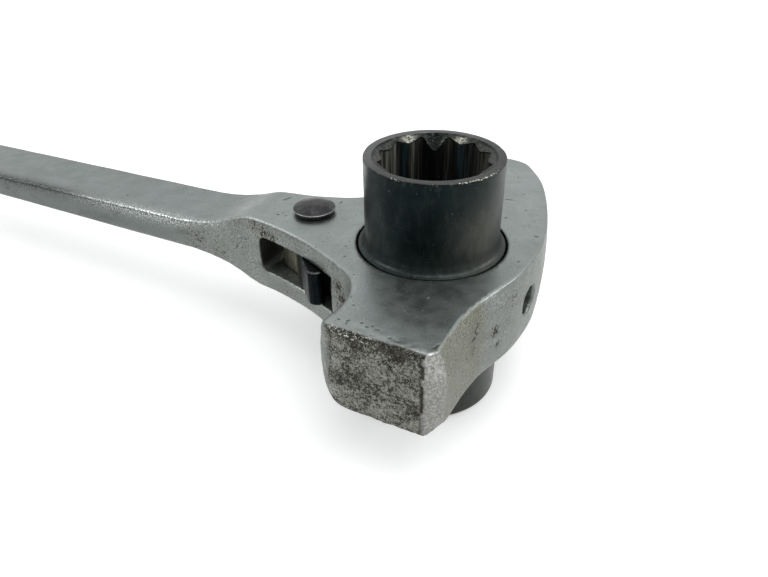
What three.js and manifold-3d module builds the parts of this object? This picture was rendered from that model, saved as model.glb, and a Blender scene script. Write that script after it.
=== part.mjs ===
// Double-socket ratchet spanner with a hammer poll and a podger spike.
// Units are millimetres. +Z runs up the socket axis, +X points to the rounded front of the head,
// the handle runs along -X, the hammer poll points to -Y and the tail lobe to +Y.
// Everything is drawn about the socket axis with z = 0 on the head's top face; the last group
// moves it so that the origin is the middle of the bounding box's bottom.
import * as THREE from 'three';
import { mergeVertices } from 'three/addons/utils/BufferGeometryUtils.js';
import Module from 'manifold-3d';

// ---- driving dimensions -------------------------------------------------------------------
const HEAD_T = 18.0;             // head thickness, top face at z = 0
const EDGE_BEVEL = 0.8;          // bevel along the head's and handle's edges

// the handle is a flat bar that thins and widens a little away from the head
const NECK_END = -62.0;          // the neck has come down to the bar here
const BAR_TAPER_END = -150.0;    // the bar has its final section from here on
const BAR_END = -166.0;          // flat bar ends, spike begins
const BAR_TOP_NEAR = -5.43, BAR_TOP_FAR = -7.4;          // top face at either end of the taper
const BAR_BOTTOM_NEAR = -13.05, BAR_BOTTOM_FAR = -13.5;  // bottom face
const BAR_HALF_NEAR = 8.4, BAR_HALF_FAR = 8.7;           // half width
const SPIKE_TIP = -285.0;
// side view of the neck: [x, z] of its top and bottom faces
const NECK_TOP = [[-37, 0], [-38.5, -0.05], [-41, -0.4], [-43.45, -1.25], [-45.55, -2.2], [-48.5, -3.3], [-52.65, -4.42], [-56.8, -5.03]];
const NECK_BOTTOM = [[-37, -18], [-39, -17.85], [-42, -17.2], [-44.85, -15.9], [-47.7, -14.8], [-50.65, -14.1], [-53.6, -13.55], [-56.6, -13.25]];

const POLL_FACE_Y = -34.4;       // striking face
const TAIL_TIP_Y = 52.0;

const LIP_R = 15.35;             // bore through the head's top lip
const LIP_T = 3.9;
const POCKET_R = 17.3;           // larger bore below the lip, for the toothed ring
const GROOVE_R = 18.35;          // groove for the retaining ring
const GROOVE_TOP = -15.7;
const GROOVE_BOTTOM = -17.3;

const SLOT_TOP = -3.9;           // slot through the neck for the reversing pawl
const SLOT_BOTTOM = -12.6;
const SLOT_REAR = -37.3;
const SLOT_FRONT = -14.3;

const AXIS_Z = -8.6;             // height of the spring hole and of the drill-through hole
const FRONT_HOLE_R = 3.0;
const SPRING_HOLE_R = 2.0;
const SPRING_HOLE_END = -46.6;

// ratchet socket
const UP_R = 13.5;               // upper barrel, 19 mm
const UP_TOP = 18.1;
const FLANGE_R = 15.0;
const LOW_R = 15.35;             // lower barrel, 21 mm
const LOW_END = -35.3;
const AF_UP = 19.0;              // across flats
const AF_LOW = 21.0;
const AF_CLEAR = 0.25;
const BORE_CHANGE = -9.0;        // where the 19 mm form meets the 21 mm form
const TEETH = 24;
const TIP_R = 16.7;
const ROOT_R = 15.2;
const RING_TOP = -4.2;
const RING_BOTTOM = -12.7;
const COLLAR_R = 17.0;
const COLLAR_BOTTOM = -14.6;
const POINT_TURN = 7.5;          // degrees, where the first point of the 12-point form lies

// retaining ring and washer
const WASHER_IN = 15.7, WASHER_OUT = 17.0, WASHER_TOP = -14.9, WASHER_BOTTOM = -15.55;
const CIRCLIP_IN = 15.7, CIRCLIP_OUT = 18.0, CIRCLIP_TOP = -16.0, CIRCLIP_BOTTOM = -17.0;
const CIRCLIP_GAP = 26;          // degrees

// reversing pawl
const PIVOT_X = -28.0;
const PAWL_TILT = 10.0;          // degrees each side of the middle; drawn engaged on the poll side
const PAWL_TOP = -4.2;
const PAWL_BOTTOM = -12.3;
const PIN_R = 3.0;
const PIN_HOLE_R = 3.3;
const PIN_HEAD_R = 4.7;
const PIN_NECK_R = 4.4;          // the head flares out from this to its rim
const PIN_RIM = 1.0;             // height of the rim over the head's top face
const PIN_DOME = 2.2;            // and of the dome's crown
const PIN_TAIL_R = 4.3;

// detent
const PLUNGER_R = 1.65;
const PLUNGER_STEM_R = 0.8;
const SPRING_OUT_R = 1.6;
const SPRING_WIRE_R = 0.27;

// ---- tools --------------------------------------------------------------------------------
const wasm = await Module();
wasm.setup();
const deg = Math.PI / 180;

function solid(geometry) {
  const g = geometry.index ? geometry.toNonIndexed() : geometry.clone();
  g.deleteAttribute('normal');
  g.deleteAttribute('uv');
  const m = mergeVertices(g, 1e-4);
  const index = m.index.array;
  const pos = m.attributes.position.array;
  // drop triangles that merging has made degenerate
  const tri = [];
  for (let i = 0; i < index.length; i += 3) {
    const [a, b, c] = [index[i], index[i + 1], index[i + 2]];
    if (a !== b && b !== c && c !== a) tri.push(a, b, c);
  }
  return new wasm.Manifold(new wasm.Mesh({
    numProp: 3, vertProperties: new Float32Array(pos), triVerts: new Uint32Array(tri),
  }));
}

function toGeometry(manifold) {
  const mesh = manifold.getMesh();
  const g = new THREE.BufferGeometry();
  const n = mesh.vertProperties.length / mesh.numProp;
  const p = new Float32Array(n * 3);
  for (let i = 0; i < n; i++) for (let k = 0; k < 3; k++) p[3 * i + k] = mesh.vertProperties[mesh.numProp * i + k];
  g.setAttribute('position', new THREE.BufferAttribute(p, 3));
  g.setIndex(new THREE.BufferAttribute(new Uint32Array(mesh.triVerts), 1));
  g.computeVertexNormals();
  return g;
}

// an outline in XY, extruded from zBottom to zTop, with an optional bevel inside the outline
function prism(points, zBottom, zTop, bevel = 0) {
  const shape = new THREE.Shape(points.map(([x, y]) => new THREE.Vector2(x, y)));
  const g = new THREE.ExtrudeGeometry(shape, {
    depth: zTop - zBottom - 2 * bevel, steps: 1, curveSegments: 1,
    bevelEnabled: bevel > 0, bevelThickness: bevel, bevelSize: bevel, bevelOffset: -bevel, bevelSegments: 1,
  });
  g.translate(0, 0, zBottom + bevel);
  return solid(g);
}

// an outline in XZ, extruded along Y
function prismXZ(points, yLow, yHigh) {
  const shape = new THREE.Shape(points.map(([x, z]) => new THREE.Vector2(x, z)));
  const g = new THREE.ExtrudeGeometry(shape, { depth: yHigh - yLow, steps: 1, bevelEnabled: false });
  g.rotateX(Math.PI / 2);
  g.translate(0, yHigh, 0);
  return solid(g);
}

// an outline in YZ, extruded along X
function prismYZ(points, xLow, xHigh) {
  const shape = new THREE.Shape(points.map(([y, z]) => new THREE.Vector2(y, z)));
  const g = new THREE.ExtrudeGeometry(shape, { depth: xHigh - xLow, steps: 1, bevelEnabled: false });
  g.rotateX(Math.PI / 2);
  g.rotateZ(Math.PI / 2);
  g.translate(xLow, 0, 0);
  return solid(g);
}

// a profile [radius, height] turned about Z, starting and ending on the axis
function turned(profile, segments) {
  const g = new THREE.LatheGeometry(profile.map(([r, z]) => new THREE.Vector2(r, z)), segments);
  g.rotateX(Math.PI / 2);
  return solid(g);
}

function disc(r, zBottom, zTop, segments, x = 0, y = 0) {
  return turned([[0, zBottom], [r, zBottom], [r, zTop], [0, zTop]], segments).translate([x, y, 0]);
}

// a rod along X
function rodX(r, xLow, xHigh, y, z, segments) {
  const g = new THREE.CylinderGeometry(r, r, xHigh - xLow, segments);
  g.rotateZ(Math.PI / 2);
  g.translate((xLow + xHigh) / 2, y, z);
  return solid(g);
}

// a smooth open curve through the points, sampled at `count` points
function curve(points, count) {
  const c = new THREE.CatmullRomCurve3(points.map(([x, y]) => new THREE.Vector3(x, y, 0)), false, 'centripetal');
  return c.getSpacedPoints(count - 1).map((p) => [p.x, p.y]);
}

// ---- wrench body: handle, neck, head, poll, tail and spike ----------------------------------
const pollLeft = curve([[-6.0, -31.6], [-5.4, -27.5], [-6.4, -23.2], [-8.9, -19.7], [-13.0, -17.2], [-17.6, -15.0],
  [-22.6, -12.8], [-28.4, -11.0], [-34.6, -9.5], [-41.5, -8.6], [-50.0, -8.4], [NECK_END, -BAR_HALF_NEAR]], 24);
const farSide = curve([[NECK_END, BAR_HALF_NEAR], [-50.0, 8.35], [-45.5, 8.0], [-41.5, 7.5], [-38.5, 7.4], [-34.6, 7.95], [-28.4, 9.4], [-23.0, 11.9], [-19.8, 16.2],
  [-18.2, 22.0], [-16.2, 29.5], [-12.7, 38.0], [-9.0, 44.6], [-4.6, 50.2], [0.5, TAIL_TIP_Y],
  [5.4, 50.4], [9.4, 45.0], [12.6, 39.0], [15.9, 30.8], [18.4, 22.8], [20.3, 14.8], [21.4, 7.0], [21.2, 0.0],
  [20.3, -6.4], [18.9, -11.2], [17.6, -15.8], [16.8, -20.6], [16.5, -26.0], [16.4, -31.2]], 52);
const plan = [
  [16.4, -31.2], [13.95, POLL_FACE_Y], [-2.8, POLL_FACE_Y], [-4.8, -33.5],
  ...pollLeft,
  ...farSide.slice(0, -1),
].reverse();   // anticlockwise

// side view, cut square at the neck's end
const side = [
  [30, 0], ...NECK_TOP, [NECK_END, BAR_TOP_NEAR],
  [NECK_END, BAR_BOTTOM_NEAR], ...NECK_BOTTOM.slice().reverse(), [30, -HEAD_T],
];
// the tail thins a little towards its tip
const tailDrop = (y) => 1.4 * ((y - 20) / 30) ** 2;
const front = [[-40, 0], [20, 0], [29, -tailDrop(29)], [38, -tailDrop(38)], [46, -tailDrop(46)], [56, -tailDrop(54)],
  [56, -HEAD_T + tailDrop(54)], [46, -HEAD_T + tailDrop(46)], [38, -HEAD_T + tailDrop(38)],
  [29, -HEAD_T + tailDrop(29)], [20, -HEAD_T], [-40, -HEAD_T]];

let body = prism(plan, -HEAD_T, 0, EDGE_BEVEL);
body = body.intersect(prismXZ(side, -60, 60)).intersect(prismYZ(front, -60, 60));

// bar: a bevelled section drawn from -1 to 1, extruded along X, then given its taper
const taper = (x, near, far) => near + (far - near) * Math.min(Math.max((NECK_END - x) / (NECK_END - BAR_TAPER_END), -0.1), 1);
{
  const bw = EDGE_BEVEL / 8.5, bt = EDGE_BEVEL / 3.6;
  const section = new THREE.Shape([[1, -1 + bt], [1, 1 - bt], [1 - bw, 1], [-1 + bw, 1], [-1, 1 - bt], [-1, -1 + bt], [-1 + bw, -1], [1 - bw, -1]]
    .map(([y, z]) => new THREE.Vector2(y, z)));
  const from = NECK_END + 4;
  const g = new THREE.ExtrudeGeometry(section, { depth: from - BAR_END, steps: 8, bevelEnabled: false });
  g.rotateX(Math.PI / 2);
  g.rotateZ(Math.PI / 2);     // now along X, section in YZ
  g.translate(BAR_END, 0, 0);
  const p = g.attributes.position;
  for (let i = 0; i < p.count; i++) {
    const x = p.getX(i), top = taper(x, BAR_TOP_NEAR, BAR_TOP_FAR), bottom = taper(x, BAR_BOTTOM_NEAR, BAR_BOTTOM_FAR);
    p.setY(i, p.getY(i) * taper(x, BAR_HALF_NEAR, BAR_HALF_FAR));
    p.setZ(i, (top + bottom) / 2 + p.getZ(i) * (top - bottom) / 2);
  }
  let bar = solid(g);
  if (bar.volume() < 0) throw new Error('bar is inside out');
  body = body.add(bar);
}

// spike: a long cone, flattened to the bar's thickness where it leaves the bar
{
  const h = (BAR_TOP_FAR + BAR_BOTTOM_FAR) / 2, flat = (BAR_TOP_FAR - BAR_BOTTOM_FAR) / 2;
  const prof = [[0, SPIKE_TIP], [1.3, SPIKE_TIP + 0.5], [2.1, SPIKE_TIP + 3], [3.0, -262], [3.8, -235], [4.6, -208],
    [5.7, -190], [7.2, -176], [8.4, -167], [8.65, -160], [0, -160]].map(([r, x]) => new THREE.Vector2(r, x));
  const g = new THREE.LatheGeometry(prof, 28);
  g.rotateZ(-Math.PI / 2);      // the lathe's axis runs along X
  g.translate(0, 0, h);
  let spike = solid(g);
  if (spike.volume() < 0) throw new Error('spike is inside out');
  const slab = prismXZ([[-150, h + flat], [-170, h + flat], [-212, h + 4.9], [-300, h + 4.9],
    [-300, h - 4.9], [-212, h - 4.9], [-170, h - flat], [-150, h - flat]], -20, 20);
  body = body.add(spike.intersect(slab));
}

// bore, ring pocket and groove
body = body.subtract(disc(LIP_R, -HEAD_T - 1, 1, 72));
body = body.subtract(disc(POCKET_R, -HEAD_T - 1, -LIP_T, 72));
body = body.subtract(disc(GROOVE_R, GROOVE_BOTTOM, GROOVE_TOP, 72));
// slot for the pawl, open through both sides of the neck
body = body.subtract(prism([
  [SLOT_REAR, -30], [SLOT_FRONT, -30], [SLOT_FRONT, -16.5], [-11.5, -12.0],
  [-11.5, 12.0], [SLOT_FRONT, 16.5], [SLOT_FRONT, 17.4], [-19.8, 17.4], [-21.0, 30], [SLOT_REAR, 30],
], SLOT_BOTTOM, SLOT_TOP));
// pivot hole with a shallow recess at its lower end
body = body.subtract(disc(PIN_HOLE_R, -HEAD_T - 1, 1, 32, PIVOT_X));
body = body.subtract(disc(PIN_TAIL_R + 0.32, -HEAD_T - 1, -HEAD_T + 0.6, 40, PIVOT_X));
// spring hole in the neck and the hole in the front through which it is drilled
body = body.subtract(rodX(SPRING_HOLE_R, SPRING_HOLE_END, SLOT_REAR + 1, 0, AXIS_Z, 20));
body = body.subtract(rodX(FRONT_HOLE_R, 14, 30, 0, AXIS_Z, 28));

// ---- ratchet socket: two 12-point barrels and the toothed ring, one piece ---------------------
function star(af, clear, turn) {
  const ro = af / Math.sqrt(3) + clear * 0.6, ri = (af / 2) / Math.cos(15 * deg) + clear * 0.5;
  const pts = [];
  for (let i = 0; i < 24; i++) {
    const r = i % 2 ? ri : ro, a = (turn + 15 * i) * deg;
    pts.push([r * Math.cos(a), r * Math.sin(a)]);
  }
  return pts;
}
function toothRing(tipR, rootR, flat) {
  const pts = [];
  for (let i = 0; i < TEETH; i++) {
    const a = 180 + i * 360 / TEETH, half = 180 / TEETH;
    for (const [r, d] of [[tipR, -flat], [tipR, flat], [rootR, half - flat], [rootR, half + flat]]) {
      pts.push([r * Math.cos((a + d) * deg), r * Math.sin((a + d) * deg)]);
    }
  }
  return pts;
}
const UP_MOUTH = 12.02, lowMouth = LOW_R * 0.87;
let socket = turned([
  [0, LOW_END], [LOW_R - 0.6, LOW_END], [LOW_R, LOW_END + 0.6], [LOW_R, COLLAR_BOTTOM], [COLLAR_R, COLLAR_BOTTOM],
  [COLLAR_R, RING_BOTTOM], [FLANGE_R, RING_BOTTOM], [FLANGE_R, -0.35],
  [14.35, -0.05], [13.85, 0.5], [13.58, 1.2], [UP_R, 2.0], [UP_R, UP_TOP - 0.4], [UP_R - 0.4, UP_TOP], [0, UP_TOP],
], 72);
socket = socket.add(prism(toothRing(TIP_R, ROOT_R, 1.2), RING_BOTTOM, RING_TOP));
socket = socket.subtract(prism(star(AF_UP, AF_CLEAR, POINT_TURN), BORE_CHANGE - 0.5, UP_TOP + 1));
socket = socket.subtract(prism(star(AF_LOW, AF_CLEAR, POINT_TURN), LOW_END - 1, BORE_CHANGE));
socket = socket.subtract(turned([[0, UP_TOP - 1.81], [9.0, UP_TOP - 1.81], [UP_MOUTH, UP_TOP], [UP_MOUTH + 0.6, UP_TOP + 0.36], [0, UP_TOP + 0.36]], 72));
socket = socket.subtract(turned([[0, LOW_END - 0.6], [lowMouth + 0.6, LOW_END - 0.6], [lowMouth, LOW_END], [10.0, LOW_END + 3.4], [0, LOW_END + 3.4]], 72));

// ---- thrust washer and retaining ring -----------------------------------------------------------
const washer = disc(WASHER_OUT, WASHER_BOTTOM, WASHER_TOP, 72).subtract(disc(WASHER_IN, WASHER_BOTTOM - 1, WASHER_TOP + 1, 72));
let circlip;
{
  const pts = [];
  const half = CIRCLIP_GAP / 2, n = 40;
  for (let i = 0; i <= n; i++) {
    const a = (half + (360 - CIRCLIP_GAP) * i / n) * deg;
    pts.push([CIRCLIP_OUT * Math.cos(a), CIRCLIP_OUT * Math.sin(a)]);
  }
  for (let i = n; i >= 0; i--) {
    const a = (half + (360 - CIRCLIP_GAP) * i / n) * deg;
    pts.push([CIRCLIP_IN * Math.cos(a), CIRCLIP_IN * Math.sin(a)]);
  }
  circlip = prism(pts, CIRCLIP_BOTTOM, CIRCLIP_TOP);
}

// ---- reversing pawl -----------------------------------------------------------------------------
// Drawn about its pivot in the middle position; x points to the socket axis. One half is listed.
const gearX = -PIVOT_X;
function onGear(r, phi) {
  // a point of the toothed ring, phi degrees round from the pivot side, seen from the tilted pawl
  const wx = gearX - r * Math.cos(phi * deg), wy = -r * Math.sin(phi * deg);
  const c = Math.cos(PAWL_TILT * deg), s = Math.sin(PAWL_TILT * deg);
  return [wx * c + wy * s, -wx * s + wy * c];
}
const pawlHalf = [
  [-7.9, 0], [-6.45, -4.25], [-2.0, -7.25], [2.0, -13.2], [4.6, -16.9], [5.3, -17.55], [6.3, -17.7], [7.3, -17.4],
  [7.95, -16.7], [7.8, -15.9], [6.5, -13.9], [6.9, -12.9], [8.4, -12.7], [12.1, -13.15],
  onGear(17.15, 43.0), onGear(15.65, 38.7), onGear(15.65, 36.3), onGear(17.1, 31.8),
  onGear(17.1, 28.2), onGear(15.65, 23.7), onGear(15.65, 21.3), onGear(17.2, 16.6), [10.3, -3.6],
];
const pawlOutline = [...pawlHalf, ...pawlHalf.slice(1).reverse().map(([x, y]) => [x, -y])];
let pawl = prism(pawlOutline, PAWL_BOTTOM, PAWL_TOP).subtract(disc(PIN_HOLE_R, PAWL_BOTTOM - 1, PAWL_TOP + 1, 32));
pawl = pawl.rotate([0, 0, PAWL_TILT]).translate([PIVOT_X, 0, 0]);

// ---- pawl pin -------------------------------------------------------------------------------------
const pin = turned([
  [0, -HEAD_T - 0.75], [1.9, -HEAD_T - 0.65], [3.4, -HEAD_T - 0.3], [PIN_TAIL_R, -HEAD_T + 0.1], [PIN_TAIL_R, -HEAD_T + 0.3],
  [PIN_R, -HEAD_T + 0.3], [PIN_R, 0.3],
  [PIN_NECK_R, 0.3], [PIN_NECK_R + 0.1, 0.62], [PIN_HEAD_R, PIN_RIM - 0.05], [PIN_HEAD_R, PIN_RIM + 0.05], [4.3, 1.2], [3.3, 1.6], [1.8, 2.03], [0, PIN_DOME],
], 40).translate([PIVOT_X, 0, 0]);

// ---- detent plunger and spring ----------------------------------------------------------------------
// rear flat of the pawl on the engaged side, where it crosses the plunger's axis
function rearFlatX() {
  const a = PAWL_TILT * deg, c = Math.cos(a), s = Math.sin(a);
  const turn = ([x, y]) => [PIVOT_X + x * c - y * s, x * s + y * c];
  const p = turn([-7.9, 0]), q = turn([-6.45, 4.25]);
  return p[0] + (q[0] - p[0]) * (0 - p[1]) / (q[1] - p[1]);
}
const PLUNGER_TIP = rearFlatX() - 0.45;
const PLUNGER_SHOULDER = PLUNGER_TIP - 5.2;
const plungerProfile = [
  [0, PLUNGER_TIP], [0.6, PLUNGER_TIP - 0.12], [1.1, PLUNGER_TIP - 0.42], [1.45, PLUNGER_TIP - 0.85], [PLUNGER_R, PLUNGER_TIP - 1.5],
  [PLUNGER_R, PLUNGER_SHOULDER], [PLUNGER_STEM_R, PLUNGER_SHOULDER], [PLUNGER_STEM_R, PLUNGER_SHOULDER - 1.8], [0, PLUNGER_SHOULDER - 1.8],
].reverse();
let plunger;
{
  const g = new THREE.LatheGeometry(plungerProfile.map(([r, x]) => new THREE.Vector2(r, x)), 24);
  g.rotateZ(-Math.PI / 2);
  g.translate(0, 0, AXIS_Z);
  plunger = solid(g);
}
const springHigh = PLUNGER_SHOULDER - 0.3 - SPRING_WIRE_R, springLow = SPRING_HOLE_END + 0.3 + SPRING_WIRE_R;
class Helix extends THREE.Curve {
  constructor(r, x0, x1, turns) { super(); Object.assign(this, { r, x0, x1, turns }); }
  getPoint(t, target = new THREE.Vector3()) {
    const a = 2 * Math.PI * this.turns * t;
    return target.set(this.x0 + (this.x1 - this.x0) * t, this.r * Math.cos(a), AXIS_Z + this.r * Math.sin(a));
  }
}
const springTurns = 5;
const springShape = new THREE.Shape();
springShape.absarc(0, 0, SPRING_WIRE_R, 0, 2 * Math.PI, false);
const springGeometry = new THREE.ExtrudeGeometry(springShape, {
  steps: springTurns * 14, curveSegments: 4, bevelEnabled: false,
  extrudePath: new Helix(SPRING_OUT_R - SPRING_WIRE_R, springLow, springHigh, springTurns),
});
const spring = solid(springGeometry);

// ---- scene graph --------------------------------------------------------------------------------------
const finish = {
  satin_nickel: new THREE.MeshStandardMaterial({ color: 0x9aa09f, roughness: 0.42, metalness: 1.0 }),
  black_oxide: new THREE.MeshStandardMaterial({ color: 0x35393a, roughness: 0.5, metalness: 0.9 }),
  dark_steel: new THREE.MeshStandardMaterial({ color: 0x4a4c50, roughness: 0.45, metalness: 0.9 }),
  pin_steel: new THREE.MeshStandardMaterial({ color: 0x55535a, roughness: 0.4, metalness: 0.9 }),
  spring_steel: new THREE.MeshStandardMaterial({ color: 0x7a7c7e, roughness: 0.35, metalness: 1.0 }),
};
function piece(name, manifold, material) {
  const mesh = new THREE.Mesh(toGeometry(manifold), material);
  mesh.name = name;
  return mesh;
}
const tool = new THREE.Group();
tool.add(
  piece('wrench_body', body, finish.satin_nickel),
  piece('ratchet_socket', socket, finish.black_oxide),
  piece('thrust_washer', washer, finish.spring_steel),
  piece('retaining_ring', circlip, finish.spring_steel),
  piece('reversing_pawl', pawl, finish.dark_steel),
  piece('pawl_pin', pin, finish.pin_steel),
  piece('detent_plunger', plunger, finish.dark_steel),
  piece('detent_spring', spring, finish.spring_steel),
);
// origin at the middle of the bounding box's bottom
const box = new THREE.Box3().setFromObject(tool, true);
const OFFSET = [-(box.min.x + box.max.x) / 2, -(box.min.y + box.max.y) / 2, -box.min.z];
tool.position.set(...OFFSET);
const group = new THREE.Group();
group.add(tool);
export default group;
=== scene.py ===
import math

import bpy
import numpy as np
from mathutils import Matrix, Vector


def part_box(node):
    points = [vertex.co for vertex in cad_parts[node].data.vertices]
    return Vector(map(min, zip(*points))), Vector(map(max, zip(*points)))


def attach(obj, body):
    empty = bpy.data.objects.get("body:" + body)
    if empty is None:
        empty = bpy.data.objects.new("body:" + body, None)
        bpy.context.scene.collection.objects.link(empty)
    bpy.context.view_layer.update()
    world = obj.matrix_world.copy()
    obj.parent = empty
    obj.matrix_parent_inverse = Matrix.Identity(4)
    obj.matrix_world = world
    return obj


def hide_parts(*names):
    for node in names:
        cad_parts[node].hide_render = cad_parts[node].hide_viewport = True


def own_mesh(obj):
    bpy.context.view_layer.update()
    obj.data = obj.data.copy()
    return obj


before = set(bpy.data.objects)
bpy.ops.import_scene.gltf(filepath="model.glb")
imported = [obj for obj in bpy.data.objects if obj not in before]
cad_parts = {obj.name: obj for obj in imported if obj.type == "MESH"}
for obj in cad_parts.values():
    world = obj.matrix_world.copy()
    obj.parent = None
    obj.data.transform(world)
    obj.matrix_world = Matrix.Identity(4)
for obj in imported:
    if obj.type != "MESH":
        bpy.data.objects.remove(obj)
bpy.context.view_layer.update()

scene = bpy.context.scene

# ---------------------------------------------------------------------------------------------
# Frames. The shapes below are drawn in millimetres about the socket axis, z = 0 on the head's
# top face, as the CAD is. OFF takes that to the row frame.
# ---------------------------------------------------------------------------------------------
_lo, _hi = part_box("ratchet_socket")
OFF = np.array([(_lo.x + _hi.x) * 500.0, (_lo.y + _hi.y) * 500.0, _hi.z * 1000.0 - 18.1])


def row(p):
    return (np.asarray(p, float) + OFF) * 0.001


def rowv(x, y, z):
    return Vector(row((x, y, z)))


def step(a, b, x):
    t = np.clip((x - a) / (b - a), 0.0, 1.0)
    return t * t * (3 - 2 * t)


# ---------------------------------------------------------------------------------------------
# Camera first
# ---------------------------------------------------------------------------------------------
def make_camera():
    psi, pitch, roll = 0.480605943, 0.592189903, -0.0131693320
    h = Vector((-math.sin(psi), math.cos(psi), 0))
    fwd = h * math.cos(pitch) - Vector((0, 0, 1)) * math.sin(pitch)
    right = Vector((math.cos(psi), math.sin(psi), 0))
    up = right.cross(fwd)
    r2 = right * math.cos(roll) + up * math.sin(roll)
    u2 = -right * math.sin(roll) + up * math.cos(roll)
    cam_data = bpy.data.cameras.new("photo_camera")
    cam = bpy.data.objects.new("photo_camera", cam_data)
    scene.collection.objects.link(cam)
    m = Matrix.Identity(4)
    for i in range(3):
        m[i][0], m[i][1], m[i][2] = r2[i], u2[i], -fwd[i]
    p = rowv(42.647, -102.926, 62.673)
    m[0][3], m[1][3], m[2][3] = p
    cam.matrix_world = m
    cam_data.sensor_fit = "HORIZONTAL"
    cam_data.sensor_width = 36.0
    cam_data.lens = 625.475 / 768.0 * 36.0
    cam_data.clip_start = 0.002
    cam_data.clip_end = 20.0
    scene.camera = cam
    return cam


camera = make_camera()


# ---------------------------------------------------------------------------------------------
# Numeric helpers: curves, polygons, lattice noise
# ---------------------------------------------------------------------------------------------
def centripetal(pts, per=9):
    """A smooth open curve through the points, the same as the CAD's."""
    P = np.array(pts, float)
    P = np.vstack([2 * P[0] - P[1], P, 2 * P[-1] - P[-2]])
    out = []
    for i in range(1, len(P) - 2):
        p0, p1, p2, p3 = P[i - 1], P[i], P[i + 1], P[i + 2]
        d0, d1, d2 = (max(np.sum((b - a) ** 2) ** 0.25, 1e-6) for a, b in ((p0, p1), (p1, p2), (p2, p3)))
        t1 = ((p1 - p0) / d0 - (p2 - p0) / (d0 + d1) + (p2 - p1) / d1) * d1
        t2 = ((p2 - p1) / d1 - (p3 - p1) / (d1 + d2) + (p3 - p2) / d2) * d1
        for k in range(per):
            t = k / per
            out.append((2 * t**3 - 3 * t**2 + 1) * p1 + (t**3 - 2 * t**2 + t) * t1
                       + (-2 * t**3 + 3 * t**2) * p2 + (t**3 - t**2) * t2)
    out.append(P[-2])
    return np.array(out)


def poly_sd(px, py, poly):
    """Signed distance to a closed polygon, negative inside."""
    shape = px.shape
    x, y = px.ravel(), py.ravel()
    best = np.full(x.shape, 1e9)
    inside = np.zeros(x.shape, bool)
    n = len(poly)
    for i in range(n):
        ax, ay = poly[i]
        bx, by = poly[(i + 1) % n]
        ex, ey = bx - ax, by - ay
        wx, wy = x - ax, y - ay
        t = np.clip((wx * ex + wy * ey) / max(ex * ex + ey * ey, 1e-12), 0, 1)
        best = np.minimum(best, (wx - t * ex) ** 2 + (wy - t * ey) ** 2)
        if ay != by:
            c = (ay > y) != (by > y)
            inside ^= c & (x < (bx - ax) * (y - ay) / (by - ay) + ax)
    d = np.sqrt(best)
    return np.where(inside, -d, d).reshape(shape)


def r_and(a, b, r):
    """Intersection of two distances with an edge rounding of r."""
    a, b = a + r, b + r
    return np.minimum(np.maximum(a, b), 0) + np.sqrt(np.maximum(a, 0) ** 2 + np.maximum(b, 0) ** 2) - r


def r_cut(a, b, r):
    """a with b taken out, the edge rounded by r."""
    return r_and(a, -b, r)


class Lattice:
    """Smooth repeatable noise between -1 and 1."""

    def __init__(self, seed):
        self.t = np.random.RandomState(seed).uniform(-1, 1, (32, 32, 32)).astype(np.float32)

    def __call__(self, x, y, z, size):
        x, y, z = np.broadcast_arrays(x / size, y / size, z / size)
        i, j, k = (np.floor(v).astype(int) for v in (x, y, z))
        u, v, w = x - i, y - j, z - k
        u, v, w = (s * s * (3 - 2 * s) for s in (u, v, w))
        i, j, k = i & 31, j & 31, k & 31
        i1, j1, k1 = (i + 1) & 31, (j + 1) & 31, (k + 1) & 31
        t = self.t
        a = t[i, j, k] * (1 - u) + t[i1, j, k] * u
        b = t[i, j1, k] * (1 - u) + t[i1, j1, k] * u
        c = t[i, j, k1] * (1 - u) + t[i1, j, k1] * u
        d = t[i, j1, k1] * (1 - u) + t[i1, j1, k1] * u
        return (a * (1 - v) + b * v) * (1 - w) + (c * (1 - v) + d * v) * w


noise_a, noise_b = Lattice(11), Lattice(23)


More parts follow.
